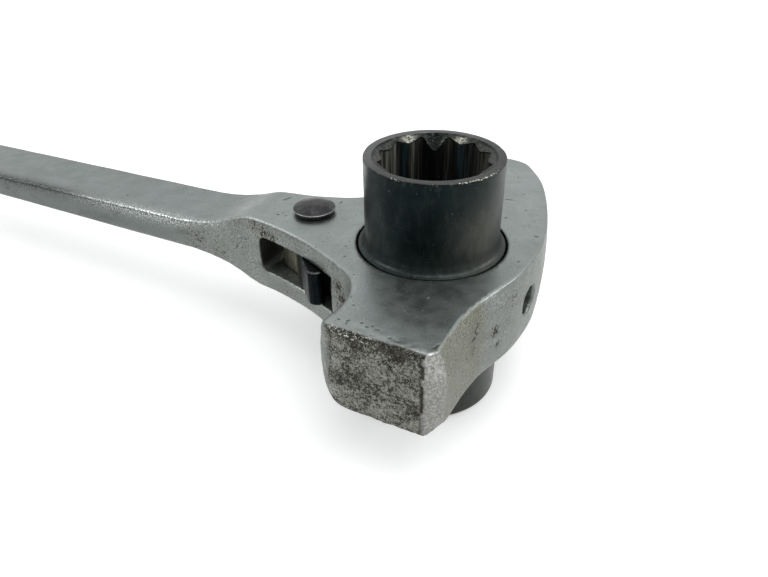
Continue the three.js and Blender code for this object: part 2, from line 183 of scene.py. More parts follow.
# ---------------------------------------------------------------------------------------------
# Contouring: a mesh of quads on the zero surface, with its vertices pulled onto edges
# ---------------------------------------------------------------------------------------------
def contour(F, xs, ys, zs, clamp=0.02):
    X, Y, Z = np.meshgrid(xs, ys, zs, indexing="ij", sparse=True)
    V = np.broadcast_to(F(X, Y, Z), (len(xs), len(ys), len(zs)))
    inside = V < 0
    nx, ny, nz = V.shape
    G = (xs, ys, zs)
    cells_of, points, quads, flips = [], [], [], []

    def cell(i, j, k):
        return (i * (ny - 1) + j) * (nz - 1) + k

    for ax in range(3):
        lo = [slice(None)] * 3
        hi = [slice(None)] * 3
        lo[ax], hi[ax] = slice(0, -1), slice(1, None)
        ch = inside[tuple(lo)] != inside[tuple(hi)]
        I = np.array(np.nonzero(ch))
        others = [a for a in range(3) if a != ax]
        keep = np.ones(I.shape[1], bool)
        for o in others:
            keep &= (I[o] > 0) & (I[o] < (nx, ny, nz)[o] - 1)
        I = I[:, keep]
        J = I.copy()
        J[ax] += 1
        va, vb = V[tuple(I)], V[tuple(J)]
        pa = np.stack([G[a][I[a]] for a in range(3)], 1).astype(float)
        pb = np.stack([G[a][J[a]] for a in range(3)], 1).astype(float)
        ta, tb = np.zeros(len(va)), np.ones(len(va))
        fa, fb = va.astype(float).copy(), vb.astype(float).copy()
        for _ in range(3):   # a few steps of a guarded secant
            t = np.clip(ta + (tb - ta) * fa / np.where(fa == fb, 1e-9, fa - fb), ta + 0.08 * (tb - ta), tb - 0.08 * (tb - ta))
            p = pa + (pb - pa) * t[:, None]
            f = F(p[:, 0], p[:, 1], p[:, 2])
            same = (f < 0) == (fa < 0)
            ta, fa = np.where(same, t, ta), np.where(same, f, fa)
            tb, fb = np.where(same, tb, t), np.where(same, fb, f)
        t = ta + (tb - ta) * fa / np.where(fa == fb, 1e-9, fa - fb)
        p = pa + (pb - pa) * t[:, None]
        u, v = {0: (1, 2), 1: (2, 0), 2: (0, 1)}[ax]
        quad = []
        for du, dv in ((-1, -1), (0, -1), (0, 0), (-1, 0)):
            c = [I[0], I[1], I[2]]
            c[u] = c[u] + du
            c[v] = c[v] + dv
            quad.append(cell(*c))
        quad = np.stack(quad, 1)
        quads.append(quad)
        flips.append(va >= 0)
        points.append(p)
        cells_of.append(quad)
    P = np.vstack(points)
    C = np.vstack(cells_of)
    flip = np.concatenate(flips)
    e = 0.015
    N = np.stack([F(P[:, 0] + e, P[:, 1], P[:, 2]) - F(P[:, 0] - e, P[:, 1], P[:, 2]),
                  F(P[:, 0], P[:, 1] + e, P[:, 2]) - F(P[:, 0], P[:, 1] - e, P[:, 2]),
                  F(P[:, 0], P[:, 1], P[:, 2] + e) - F(P[:, 0], P[:, 1], P[:, 2] - e)], 1)
    N /= np.maximum(np.linalg.norm(N, axis=1), 1e-9)[:, None]
    ids, inv = np.unique(C.ravel(), return_inverse=True)
    inv = inv.reshape(C.shape)
    m = len(ids)
    flat = inv.ravel()
    P4, N4 = np.repeat(P, 4, 0), np.repeat(N, 4, 0)
    cnt = np.bincount(flat, minlength=m).astype(float)
    mass = np.stack([np.bincount(flat, P4[:, a], m) for a in range(3)], 1) / cnt[:, None]
    rel = P4 - mass[flat]
    nd = np.sum(N4 * rel, 1)
    A = np.zeros((m, 3, 3))
    b = np.zeros((m, 3))
    for a in range(3):
        b[:, a] = np.bincount(flat, N4[:, a] * nd, m)
        for c in range(a, 3):
            A[:, a, c] = A[:, c, a] = np.bincount(flat, N4[:, a] * N4[:, c], m)
    A += np.eye(3) * 0.04
    x = np.linalg.solve(A, b[:, :, None])[:, :, 0] + mass
    ci, cj, ck = ids // ((ny - 1) * (nz - 1)), (ids // (nz - 1)) % (ny - 1), ids % (nz - 1)
    for a, c in enumerate((ci, cj, ck)):
        g = np.asarray(G[a])
        w = (g[c + 1] - g[c]) * clamp
        x[:, a] = np.clip(x[:, a], g[c] + w, g[c + 1] - w)
    Q = inv.reshape(-1, 4)
    Q = np.where(flip[:, None], Q[:, ::-1], Q)
    return x, Q


def gradient(F, p, e=0.02):
    n = np.stack([F(p[:, 0] + e, p[:, 1], p[:, 2]) - F(p[:, 0] - e, p[:, 1], p[:, 2]),
                  F(p[:, 0], p[:, 1] + e, p[:, 2]) - F(p[:, 0], p[:, 1] - e, p[:, 2]),
                  F(p[:, 0], p[:, 1], p[:, 2] + e) - F(p[:, 0], p[:, 1], p[:, 2] - e)], 1)
    return n / np.maximum(np.linalg.norm(n, axis=1), 1e-9)[:, None]


def mesh_object(name, verts_mm, faces, attributes=None, corner_normals=None, smooth=True):
    me = bpy.data.meshes.new(name)
    v = row(verts_mm)
    if isinstance(faces, np.ndarray):
        n, k = faces.shape
        me.vertices.add(len(v))
        me.vertices.foreach_set("co", v.astype(np.float32).ravel())
        me.loops.add(n * k)
        me.loops.foreach_set("vertex_index", faces.astype(np.int32).ravel())
        me.polygons.add(n)
        me.polygons.foreach_set("loop_start", np.arange(0, n * k, k, dtype=np.int32))
        me.update(calc_edges=True)
    else:
        me.from_pydata([tuple(c) for c in v], [], faces)
        me.update(calc_edges=True)
    if smooth:
        me.polygons.foreach_set("use_smooth", np.ones(len(me.polygons), bool))
    for key, val in (attributes or {}).items():
        a = me.attributes.new(key, "FLOAT", "POINT")
        a.data.foreach_set("value", np.asarray(val, np.float32))
    if corner_normals is not None:
        me.normals_split_custom_set([tuple(c) for c in corner_normals])
    me.validate()
    o = bpy.data.objects.new(name, me)
    scene.collection.objects.link(o)
    return o


def sdf_object(name, F, xs, ys, zs, attributes=None, crease=22.0):
    v, q = contour(F, xs, ys, zs)
    # drop quads whose corners have met
    bad = np.zeros(len(q), bool)
    for i in range(4):
        bad |= q[:, i] == q[:, (i + 1) % 4]
    q = q[~bad]
    n0 = gradient(F, v)
    centre = v[q].mean(1)
    corner = v[q] * 0.72 + centre[:, None, :] * 0.28
    nc = gradient(F, corner.reshape(-1, 3)).reshape(-1, 4, 3)
    nv = n0[q]
    sharp = np.sum(nc * nv, 2) < math.cos(math.radians(crease))
    normals = np.where(sharp[:, :, None], nc, nv)
    attrs = {k: f(v, n0) for k, f in (attributes or {}).items()}
    o = mesh_object(name, v, q, attrs, normals.reshape(-1, 3))
    return o


# ---------------------------------------------------------------------------------------------
# Wrench body
# ---------------------------------------------------------------------------------------------
HEAD_T = 18.0
AXIS_Z = -8.6
PIVOT_X = -28.0

poll_left = centripetal([(-7.4, -40.0), (-7.2, -35.5), (-6.95, -31.6), (-6.35, -27.5), (-6.8, -23.4), (-8.9, -19.8), (-13.0, -17.2),
                         (-17.6, -15.0), (-22.6, -12.8), (-28.4, -11.0), (-34.6, -9.6), (-41.5, -8.7), (-50.0, -8.4), (-62.0, -8.4)])
far_side = centripetal([(-62.0, 8.4), (-50.0, 8.38), (-44.0, 8.0), (-39.0, 7.55), (-36.5, 7.75), (-33.9, 8.1), (-31.5, 8.55), (-29.2, 9.3),
                        (-27.0, 10.05), (-24.9, 11.0), (-22.8, 12.2), (-20.6, 14.3), (-19.5, 17.0),
                        (-18.2, 22.0), (-16.2, 29.5), (-12.7, 38.0), (-9.0, 44.6), (-4.6, 50.2), (0.5, 52.0),
                        (5.4, 50.4), (9.4, 45.0), (12.7, 39.0), (15.95, 30.8), (18.45, 22.8), (20.35, 14.8), (21.42, 7.0), (21.25, 0.0),
                        (20.35, -6.4), (18.95, -11.2), (17.6, -15.8), (16.8, -20.6), (16.5, -26.0), (16.4, -31.2), (16.4, -40.0)])
HEAD_PLAN = np.vstack([poll_left, [[-90.0, -8.47], [-90.0, 8.47]], far_side])

# the head's plan distance is looked up on a fine table
LX0, LY0, LH = -64.0, -42.0, 0.25
_lx = np.arange(LX0, 27.01, LH)
_ly = np.arange(LY0, 57.01, LH)
PLAN_TABLE = poly_sd(*np.meshgrid(_lx, _ly, indexing="ij"), HEAD_PLAN)


def look_up(table, x, y):
    x, y = np.broadcast_arrays(x, y)
    u = np.clip((x - LX0) / LH, 0, table.shape[0] - 1.001)
    v = np.clip((y - LY0) / LH, 0, table.shape[1] - 1.001)
    i, j = u.astype(int), v.astype(int)
    u, v = u - i, v - j
    return ((table[i, j] * (1 - u) + table[i + 1, j] * u) * (1 - v)
            + (table[i, j + 1] * (1 - u) + table[i + 1, j + 1] * u) * v)


# lines along the tool, on a fine grid in x: half width, top and bottom of the bar and neck
_sx = np.arange(-286.0, 28.0, 0.25)


def line(points, soft=1.5):
    p = np.array(points, float)
    v = np.interp(_sx, p[:, 0], p[:, 1])
    n = int(round(soft / 0.25)) * 2 + 1
    k = np.hanning(n + 2)[1:-1]
    return np.convolve(np.pad(v, n // 2, mode="edge"), k / k.sum(), "valid")


_sr_raw = np.interp(_sx, [-285.0, -284.85, -284.5, -283.6, -282.0], [0.05, 0.75, 1.3, 1.78, 2.1])
_sr = line([(-286, 2.1), (-282, 2.1), (-272, 2.6), (-262, 3.0), (-235, 3.7), (-208, 4.45), (-190, 5.6), (-176, 7.2), (-167, 8.35), (-160, 8.66),
            (-150, 8.7), (-50, 8.36), (28, 8.3)], 3.0)
_sr = np.where(_sx < -282, _sr_raw, _sr)
_bar_bottom = -13.24 + 0.245 * (np.maximum(_sx, -155.0) + 100) / 50
_bar_top = line([(-286, -7.5), (-155, -7.5), (-150, -7.42), (-70, -5.63), (-61, -5.41), (-56.8, -4.99), (-52.65, -4.32), (-48.5, -3.14),
                 (-45.55, -2.0), (-43.45, -1.1), (-41.2, -0.40), (-39.2, -0.12), (-36.5, 0.0), (28, 0.0)], 2.6)
_drop = line([(-286, 0), (-58, 0), (-53.6, 0.08), (-50.65, 0.19), (-47.7, 0.33), (-44.85, 0.57), (-42, 0.85), (-39.2, 1), (28, 1)])
_bottom = _bar_bottom + (-HEAD_T - _bar_bottom) * _drop
SPIKE_Z = -10.46


def along(table, x):
    return np.interp(x, _sx, table)


def plan_distance(x, y):
    x, y = np.broadcast_arrays(x, y)
    head = look_up(PLAN_TABLE, x, y)
    bar = np.abs(y) - along(_sr, x)
    return np.where(x > -56.0, head, bar)


def tail_drop(y):
    return 1.4 * np.maximum((y - 20) / 30, 0) ** 2


def top_of(x, y):
    return along(_bar_top, x) - tail_drop(y)


def bottom_of(x, y):
    return along(_bottom, x) + tail_drop(y)


SLOT = np.array([(-37.3, -34), (-14.3, -34), (-14.3, -16.5), (-11.5, -12), (-11.5, 12), (-14.3, 16.5), (-14.3, 17.4),
                 (-19.8, 17.4), (-21.0, 34), (-37.3, 34)], float)
SLOT_TABLE = poly_sd(*np.meshgrid(_lx, _ly, indexing="ij"), SLOT)


def body_shell(x, y, z):
    """The outside of the forging, before anything is bored."""
    x, y, z = np.broadcast_arrays(x, y, z)
    d = plan_distance(x, y)
    zt, zb = top_of(x, y), bottom_of(x, y)
    mid, half = (zt + zb) / 2, np.maximum((zt - zb) / 2, 1)
    # the forged walls bulge a little at mid height; the hammer's flank leans in at the top
    up = z > mid
    right_flank = step(-14, -24, y) * step(6, 12, x)
    left_wall = step(-18, -27, y) * step(3, -2, x)
    bulge = 0.10 + 0.55 * step(-54, -40, x) + right_flank * np.where(up, 0.55, -0.20) + left_wall * 0.5
    a = d + bulge * np.clip((z - mid) / half, -1.1, 1.1) ** 2
    # edge rounding
    near_neck = step(4, -4, x) * step(-4, -9, y)
    far_neck = step(-12, -18, x) * step(2, 7, y)
    c = 0.42 + 0.52 * near_neck + (0.75 + 0.4 * step(-30, -36, x)) * far_neck + 0.25 * step(8, 20, y) * (1 - far_neck)
    c = c + (0.95 - c) * step(-40, -54, x)
    hammer = step(-22.0, -32.0, y)
    left = step(6.0, 1.0, x)
    cb = c + hammer * left * 4.2 + (1 - left) * 2.5 * step(-28.5, -32.5, y)
    ct = c + hammer * left * 0.7
    f = np.maximum(r_and(a, z - zt, ct), r_and(a, zb - z, cb))
    # spike: round, with two flats that run out towards the tip
    r = along(_sr, x)
    open_ = step(-200, -216, x)
    flat = np.abs(z - SPIKE_Z) - (3.02 + 2.0 * open_)
    # a section that is a rounded box on the bar and a round with two flats on the spike
    g = r_and(np.sqrt(y * y + (z - SPIKE_Z) ** 2 + 1e-9) - r, flat, 0.45)
    k = step(-150.0, -172.0, x)
    g = np.maximum(g, np.where(x < -282, -(x + 285.0) * 0.8, -9))
    f = f * (1 - k) + g * k
    # striking face and the two bevels beside it
    f = r_and(f, -(y + 34.4), 0.75)
    f = r_and(f, (x - 13.95) * 0.794 - (y + 34.4) * 0.608, 0.35)
    f = r_and(f, np.where(y < -25, -(x + 3.4) * 0.447 - (y + 34.4) * 0.894, -9.0), 0.8)
    return f


def body_cuts(x, y, z):
    """Everything that is taken out of the forging."""
    rad = np.sqrt(x * x + y * y + 1e-9)
    lip = rad - (15.35 + 0.3 * np.clip((z + 0.3) / 0.3, 0, 2))
    pocket = r_and(rad - (17.3 + 0.35 * np.clip((-17.65 - z) / 0.35, 0, 3)), z + 3.9, 0.25)
    groove = np.maximum(rad - 18.35, np.maximum(z + 15.7, -17.3 - z))
    slot = look_up(SLOT_TABLE, x, y)
    # the slot's rear end is rounded in height
    zc = (z + 8.25) / 4.35
    slot = slot + 1.5 * np.abs(np.clip(zc, -1.2, 1.2)) ** 6 * step(-33.5, -37.3, x)
    slot = r_and(slot, np.abs(z + 8.25) - 4.35, 0.3)
    px = np.sqrt((x - PIVOT_X) ** 2 + y * y + 1e-9)
    hole = px - 3.3
    low = r_and(px - 4.62, z + 17.4, 0.15)
    sx = np.sqrt(y * y + (z - AXIS_Z) ** 2 + 1e-9)
    spring = np.maximum(sx - 2.0, np.maximum(-46.6 - x, x + 36.3))
    front = np.maximum(sx - (3.0 + 0.35 * np.clip((x - 20.95) / 0.35, 0, 3)), 14.0 - x)
    f = np.minimum(lip, pocket)
    for g in (groove, slot, hole, low, spring, front):
        f = np.minimum(f, g)
    return f


def body_waves(x, y, z):
    """The slight unevenness of a forged and blasted part, and the battered edges of the hammer."""
    w = 0.030 * noise_a(x, y, z, 9.0) + 0.014 * noise_b(x, y, z, 3.1)
    near = np.exp(-np.maximum(y + 34.0, 0) ** 2 / 3.0) * step(-27, -33, y)
    w = w + near * (0.12 * noise_a(x, y, z, 1.9) + 0.07 * noise_b(x, y, z, 0.95))
    return w


def body_field(x, y, z):
    x, y, z = np.broadcast_arrays(x, y, z)
    return r_cut(body_shell(x, y, z) + body_waves(x, y, z), body_cuts(x, y, z), 0.22)


H = 0.5


def spaced(a, b, h):
    n = max(int(round((b - a) / h)), 1)
    return np.linspace(a, b, n + 1)


xs = np.concatenate([spaced(-286.0, -280.0, 0.5)[:-1], spaced(-280.0, -176.0, 1.3)[:-1], spaced(-176.0, -140.0, 0.8)[:-1],
                     spaced(-140.0, -58.0, 1.25)[:-1], spaced(-58.0, 22.9, H)])
ys = spaced(-35.23, 52.77, H)
zs = spaced(-18.73, 0.71, 0.46)


def attr_edge(v, n):
    x, y, z = v.T
    d = plan_distance(x, y)
    t = np.minimum(np.maximum(-d, 0) + np.abs(z - top_of(x, y)), 9)
    b = np.minimum(np.maximum(-d, 0) + np.abs(z - bottom_of(x, y)), 9)
    face = np.abs(y + 34.4)
    # the far edges get little of the bright edge colour, which on the near edges is partly rub and partly a painted
    # highlight
    far = step(-10, -1, y) * step(-34, -24, x)
    far = np.maximum(far, step(0, 4, y))
    over_window = step(-39, -31, x) * step(4, -4, x)
    t = t / (0.75 + 0.25 * step(-10, -30, x) + 1.1 * step(-52, -66, x))
    e = np.exp(-(t / 1.0) ** 2) * (1 - 0.92 * far) * (1 - 0.72 * over_window) + np.exp(-(b / 0.9) ** 2) * 0.35
    # borders of the striking face
    hull = np.minimum.reduce([np.abs(z - top_of(x, y)), np.abs(z - bottom_of(x, y)) + 0.4, np.abs(x + 4.6) + 0.3])
    e = np.maximum(e, np.exp(-((face + hull) / 0.9) ** 2))
    e = e * (1 - 0.85 * step(-31.5, -33.2, y) * step(12.2, 10.6, x)) * (1 - 0.25 * step(4, 8, x) * step(-33, -30, y))
    e = e * (1 - 0.5 * step(13, 16, x) * step(-14, -8, y))
    outer = body_cuts(x, y, z) > 0.3
    # lower lip of the window: a painted highlight along its edge, brightest near its middle
    lip = np.exp(-((np.abs(body_shell(x, y, z)) + np.abs(body_cuts(x, y, z))) / 0.45) ** 2) * step(-11.6, -12.4, z) * (y < 0) * (x < -13) * (x > -36)
    lip = lip * (0.22 + 0.7 * np.exp(-((x + 23.5) / 3.5) ** 2))
    return np.maximum(e * outer, lip)


# places where brown and black specks gather: x, y, z, radius, strength
GATHER = np.array([(-38.6, -9.3, -1.9, 1.6, 0.8), (-35.6, -9.8, -2.5, 2.0, 1.0), (-32.8, -10.0, -3.2, 1.6, 0.8),
                   (-12.0, -17.8, -4.6, 1.8, 0.9), (-10.6, -18.7, -6.6, 2.0, 1.0), (-11.2, -18.2, -9.4, 2.0, 0.9),
                   (17.3, -17.6, -0.8, 0.8, 1.0), (17.5, -17.3, -2.0, 0.7, 0.9), (18.5, -12.4, -8.6, 1.3, 1.1), (18.9, -11.2, -12.6, 1.0, 0.8), (16.7, -18.8, -4.8, 2.2, 0.55),
                   (16.3, -20.0, -8.0, 2.2, 0.5), (-43.0, -9.0, -6.5, 3.0, 0.35), (-56.0, -8.5, -9.5, 3.0, 0.5), (-50.0, -8.6, -10.8, 2.6, 0.45),
                   (-30.0, -10.3, -15.5, 3.0, 0.4), (20.0, -7.0, -4.0, 2.5, 0.4)])


def attr_spots(v, n):
    out = np.zeros(len(v))
    for gx, gy, gz, gr, gs in GATHER:
        out = np.maximum(out, gs * np.exp(-np.sum((v - (gx, gy, gz)) ** 2, 1) / gr ** 2))
    return out


def attr_inner(v, n):
    x, y, z = v.T
    return (body_shell(x, y, z) + body_waves(x, y, z) < -0.28).astype(float)


def attr_poll(v, n):
    x, y, z = v.T
    face = step(-33.4, -34.1, y)
    lower = step(0.30, 0.60, -n[:, 1]) * (y < -28) * (z < -8) * step(-5.6, -4.4, x)
    return np.maximum(face, lower) * (x < 14.0)


def attr_facet(v, n):
    x, y, z = v.T
    f = (x - 13.95) * 0.794 - (y + 34.4) * 0.608
    return np.exp(-(f / 0.5) ** 2) * (n @ np.array([0.794, -0.608, 0]) > 0.8)


def attr_flank(v, n):
    x, y, z = v.T
    return step(9, 12, x) * step(-13.0, -18.5, y) * step(-32.5, -30.0, y) * step(0.35, 0.75, n[:, 0])


def attr_side(v, n):
    return step(0.85, 0.5, np.abs(n[:, 2]))


body = sdf_object("wrench_body_forging", body_field, xs, ys, zs,
                  {"edge": attr_edge, "inner": attr_inner, "poll": attr_poll, "facet": attr_facet, "flank": attr_flank,
                   "side": attr_side, "spots": attr_spots})
print("body faces", len(body.data.polygons))


# ---------------------------------------------------------------------------------------------
# Ratchet socket: rings of points round the axis, one closed skin
# ---------------------------------------------------------------------------------------------
POINT_TURN = 7.5
DEG = math.pi / 180


def ray_radius(points, theta):
    """Radius of a star-shaped closed outline, listed anticlockwise, at each angle."""
    P = np.asarray(points, float)
    ang = np.unwrap(np.arctan2(P[:, 1], P[:, 0]))
    out = np.zeros_like(theta)
    a0 = ang[0]
    th = a0 + np.mod(theta - a0, 2 * np.pi)
    seg = np.clip(np.searchsorted(ang, th, side="right") - 1, 0, len(P) - 1)
    A, B = P[seg], P[(seg + 1) % len(P)]
    d = np.stack([np.cos(theta), np.sin(theta)], 1)
    e = B - A
    den = d[:, 0] * e[:, 1] - d[:, 1] * e[:, 0]
    out = (A[:, 0] * e[:, 1] - A[:, 1] * e[:, 0]) / den
    return out


def star(af, clear=0.25):
    ro, ri = af / math.sqrt(3) + clear * 0.6, af / 2 / math.cos(15 * DEG) + clear * 0.5
    return [((ri if i % 2 else ro) * math.cos((POINT_TURN + 15 * i) * DEG),
             (ri if i % 2 else ro) * math.sin((POINT_TURN + 15 * i) * DEG)) for i in range(24)]


def teeth():
    pts = []
    for i in range(24):
        a = 180 + 15 * i
        for r, d in ((16.7, -1.2), (16.7, 1.2), (15.2, 6.3), (15.2, 8.7)):
            pts.append((r * math.cos((a + d) * DEG), r * math.sin((a + d) * DEG)))
    return pts


def make_socket():
    key = [POINT_TURN + 15 * i for i in range(24)]
    # small extra columns either side of each star corner keep the corner crisp
    key += [POINT_TURN + 15 * i + s for i in range(24) for s in (-0.45, 0.45)]
    key += [180 + 15 * i + s for i in range(24) for s in (-1.2, 1.2, -6.3, 6.3)]
    n = 288
    th = np.array(sorted(set(np.round(np.mod(np.array(key + [360.0 * i / n for i in range(n)]), 360), 3))))
    gap = np.diff(np.append(th, th[0] + 360))
    keyset = set(np.round(np.mod(np.array(key), 360), 3))
    keep = [t in keyset or (gap[i] > 0.3 and gap[i - 1] > 0.3) for i, t in enumerate(th)]
    th = th[np.array(keep)] * DEG
    one = np.ones_like(th)
    ring = ray_radius(teeth(), th)

    def rounded(points, width):
        """The outline with its corners rounded over a few degrees."""
        fine = np.arange(0, 360, 0.1) * DEG
        k = np.hanning(int(width / 0.1) | 1)
        r = ray_radius(points, fine)
        r = np.convolve(np.concatenate([r[-400:], r, r[:400]]), k / k.sum(), "same")[400:-400]
        return np.interp(th, fine, r, period=2 * np.pi)

    up, low = rounded(star(19.0), 6.5), rounded(star(21.0), 5.0)
    rows, tags = [], []

    def add(r, z, tag=0.0, edge=0.0):
        rows.append((one * r, one * z))
        tags.append((one * tag, one * edge))

    # lower rim, then up the outside
    for r, z, e in ((13.36, -35.22, .6), (13.5, -35.3, .5), (14.2, -35.3, .2), (14.75, -35.3, .6), (15.05, -35.2, 1), (15.25, -35.02, 1),
                    (15.35, -34.7, .7), (15.35, -34.2, .2)):
        add(r, z, 0, e)
    for z in np.linspace(-33, -16, 8):
        add(15.35, z)
    for r, z, e in ((15.35, -14.85, 0), (15.42, -14.66, 0), (15.6, -14.6, 0), (16.7, -14.6, .2), (16.93, -14.55, .5), (17.0, -14.4, .6),
                    (17.0, -13.7, 0), (17.0, -12.9, .5), (16.93, -12.75, .6), (16.85, -12.7, .2)):
        add(r, z, 0, e)
    for dz, dr in ((-12.7, .0), (-12.65, 0), (-12.0, 0), (-10, 0), (-8, 0), (-6, 0), (-4.6, 0), (-4.35, .1), (-4.2, .3)):
        rows.append((np.maximum(ring - dr, 15.02), one * dz))
        tags.append((one * 0, one * (0.35 if dr else 0.1)))
    for r, z, e in ((15.0, -4.2, 0), (15.0, -4.0, 0), (15.0, -2.4, 0), (15.0, -0.7, 0.1), (14.97, -0.45, .5), (14.85, -0.26, .6), (14.6, -0.14, .3),
                    (14.35, -0.03, 0), (14.12, 0.16, 0), (13.96, 0.34, 0), (13.82, 0.58, 0), (13.7, 0.88, 0), (13.6, 1.22, 0), (13.53, 1.6, 0),
                    (13.5, 2.05, 0)):
        add(r, z, 0, e)
    for z in np.linspace(3.2, 16.6, 11):
        add(13.5, z)
    for r, z, e in ((13.5, 17.6, .2), (13.49, 17.84, .6), (13.44, 17.99, 1), (13.35, 18.07, 1), (13.2, 18.1, .6), (12.95, 18.1, .2),
                    (12.4, 18.1, .1), (12.02, 18.1, .3), (11.92, 18.07, .7), (11.85, 17.98, .8)):
        add(r, z, 0.3, e)

    def lead_in(star_r, mouth_r, z_mouth, slope, sign, worn=None):
        """The cone into the points, with a row on the line where it meets them."""
        zc = z_mouth - sign * (mouth_r - star_r) * slope
        if worn is not None:
            zc = zc - worn
        for t in (0.3, 0.62, 0.9, 1.0):
            r = mouth_r + (star_r - mouth_r) * t
            z = z_mouth + (zc - z_mouth) * t
            rows.append((r, z))
            tags.append((one * 0.6, one * (0.9 if t == 1.0 else 0.25)))
        return zc

    # one point at the back is worn deeper than the others
    a = np.mod(th / DEG - 112.5 + 180, 360) - 180
    worn = 2.1 * np.cos(np.clip(np.abs(a) / 13.0, 0, 1) * np.pi / 2) ** 1.5
    zc = lead_in(up, 11.83, 17.95, 0.55, 1, worn)
    for t in (0.012, 0.05, 0.12, 0.24, 0.38, 0.55, 0.75, 0.93, 1.0):
        rows.append((up, zc + (-9.32 - zc) * t))
        tags.append((one * 1.0, one * (0.4 if t < 0.02 else 0)))
    rows.append((up + 0.1, one * -9.45))
    tags.append((one, one * 0))
    rows.append((up + 0.25, one * -9.5))
    tags.append((one, one * 0))
    rows.append((low - 0.1, one * -9.5))
    tags.append((one, one * 0))
    zl = -35.3 + (13.34 - low) * (3.4 / 3.35)
    for t in (0.0, 0.04, 0.2, 0.4, 0.6, 0.8, 0.95, 1.0):
        rows.append((low, -9.6 + (zl + 9.6) * t))
        tags.append((one * 1.0, one * (0.6 if t == 1.0 else 0)))
    for t in (0.1, 0.38, 0.7, 0.97):
        rows.append((low + (13.34 - low) * t, zl + (-35.2 - zl) * t))
        tags.append((one * 0.6, one * 0.2))
    R = np.array([r for r, _ in rows])
    Z = np.array([z for _, z in rows])
    n_rows, n_cols = R.shape
    # a faintly battered rim
    X, Y = R * np.cos(th), R * np.sin(th)
    rim = np.exp(-np.maximum(18.1 - Z, 0) ** 2 / 0.35) * (R > 12.6)
    dent = noise_a(X, Y, Z, 1.1) * 0.05 + noise_b(X, Y, Z, 2.7) * 0.05
    Z = Z + rim * np.minimum(dent, 0.0) * 1.4
    V = np.stack([X, Y, Z], 2).reshape(-1, 3)
    i = np.arange(n_rows)[:, None]
    j = np.arange(n_cols)[None, :]
    a0 = i * n_cols + j
    a1 = i * n_cols + (j + 1) % n_cols
    b0 = ((i + 1) % n_rows) * n_cols + j
    b1 = ((i + 1) % n_rows) * n_cols + (j + 1) % n_cols
    Q = np.stack([a0, a1, b1, b0], 2).reshape(-1, 4)
    T = np.array([t for t, _ in tags]).reshape(-1)
    E = np.array([e for _, e in tags]).reshape(-1)
    az = np.degrees(np.arctan2(V[:, 1], V[:, 0]))

    def near_az(a0, w):
        return np.exp(-(((az - a0 + 180) % 360 - 180) / w) ** 2)

    glint = np.maximum(near_az(142, 6), near_az(84, 6)) * (np.abs(T - 0.6) < 0.05) * (V[:, 2] > 0)
    radius = np.hypot(V[:, 0], V[:, 1])
    rim = np.exp(-((radius - 13.35) / 0.22) ** 2 - ((V[:, 2] - 17.95) / 0.22) ** 2)
    # painted light and shade in the broached bore, set by direction, and how blue the bore is
    turn = np.mod(az, 360)
    painted_bore_shading = np.interp(turn, [0, 50, 66, 76, 84, 92, 99, 105, 113, 126, 131, 136, 141, 145, 152, 156, 160, 165, 168, 174, 182, 200, 270, 360],
                      [.30, .35, .12, .20, .12, .06, .26, .05, .02, .04, .42, .72, .46, .10, .14, .80, .95, .50, .35, .75, .70, .50, .30, .30])
    blue = np.interp(turn, [0, 70, 76, 82, 90, 142, 146, 151, 155, 360], [0, 0, .7, .9, 0, 0, 1, 1, 0, 0])
    chip = rim * np.maximum.reduce([near_az(-30, 24), 0.8 * near_az(-99, 5), 0.35 * near_az(-150, 25), 0.25 * near_az(60, 30)])
    return mesh_object("ratchet_socket_forged", V, Q, {"bore": T, "edge": E, "glint": glint, "chip": chip, "painted_bore_shading": painted_bore_shading, "blue": blue})


def mark_sharp(o, angle):
    me = o.data
    me.update()
    me.set_sharp_from_angle(angle=math.radians(angle))


socket = make_socket()
mark_sharp(socket, 32)


# ---------------------------------------------------------------------------------------------
# Reversing pawl
# ---------------------------------------------------------------------------------------------
def pawl_outline():
    tilt = 10 * DEG
    c, s = math.cos(tilt), math.sin(tilt)

    def gear(r, phi):
        wx, wy = 28 - r * math.cos(phi * DEG), -r * math.sin(phi * DEG)
        return (wx * c + wy * s, -wx * s + wy * c)

    half = [(-7.9, 0), (-6.45, -4.25), (-2.0, -7.25), (2.0, -13.2), (4.6, -16.9), (5.3, -17.55), (6.3, -17.7), (7.3, -17.4),
            (7.95, -16.7), (7.8, -15.9), (6.5, -13.9), (6.9, -12.9), (8.4, -12.7), (12.1, -13.15),
            gear(17.15, 43.0), gear(15.65, 38.7), gear(15.65, 36.3), gear(17.1, 31.8), gear(17.1, 28.2), gear(15.65, 23.7),
            gear(15.65, 21.3), gear(17.2, 16.6), (10.3, -3.6)]
    full = half + [(x, -y) for x, y in half[:0:-1]]
    return np.array([(PIVOT_X + x * c - y * s, x * s + y * c) for x, y in full])


PAWL = pawl_outline()
_px, _py = np.arange(-40, -7.4, 0.125), np.arange(-22, 22.1, 0.125)
PAWL_TABLE = poly_sd(*np.meshgrid(_px, _py, indexing="ij"), PAWL)


def pawl_field(x, y, z):
    x, y, z = np.broadcast_arrays(x, y, z)
    u = np.clip((x + 40) / 0.125, 0, PAWL_TABLE.shape[0] - 1.001)
    v = np.clip((y + 22) / 0.125, 0, PAWL_TABLE.shape[1] - 1.001)
    i, j = u.astype(int), v.astype(int)
    u, v = u - i, v - j
    d = ((PAWL_TABLE[i, j] * (1 - u) + PAWL_TABLE[i + 1, j] * u) * (1 - v)
         + (PAWL_TABLE[i, j + 1] * (1 - u) + PAWL_TABLE[i + 1, j + 1] * u) * v)
    lever = step(10.5, 13.5, np.abs(y))
    r = 0.28 + 0.35 * lever
    f = np.maximum(r_and(d, z + 4.2, r), r_and(d, -12.3 - z, r))
    f = f + 0.02 * noise_a(x, y, z, 2.2)
    hole = np.sqrt((x - PIVOT_X) ** 2 + y * y + 1e-9) - 3.3
    return r_cut(f, hole, 0.2)


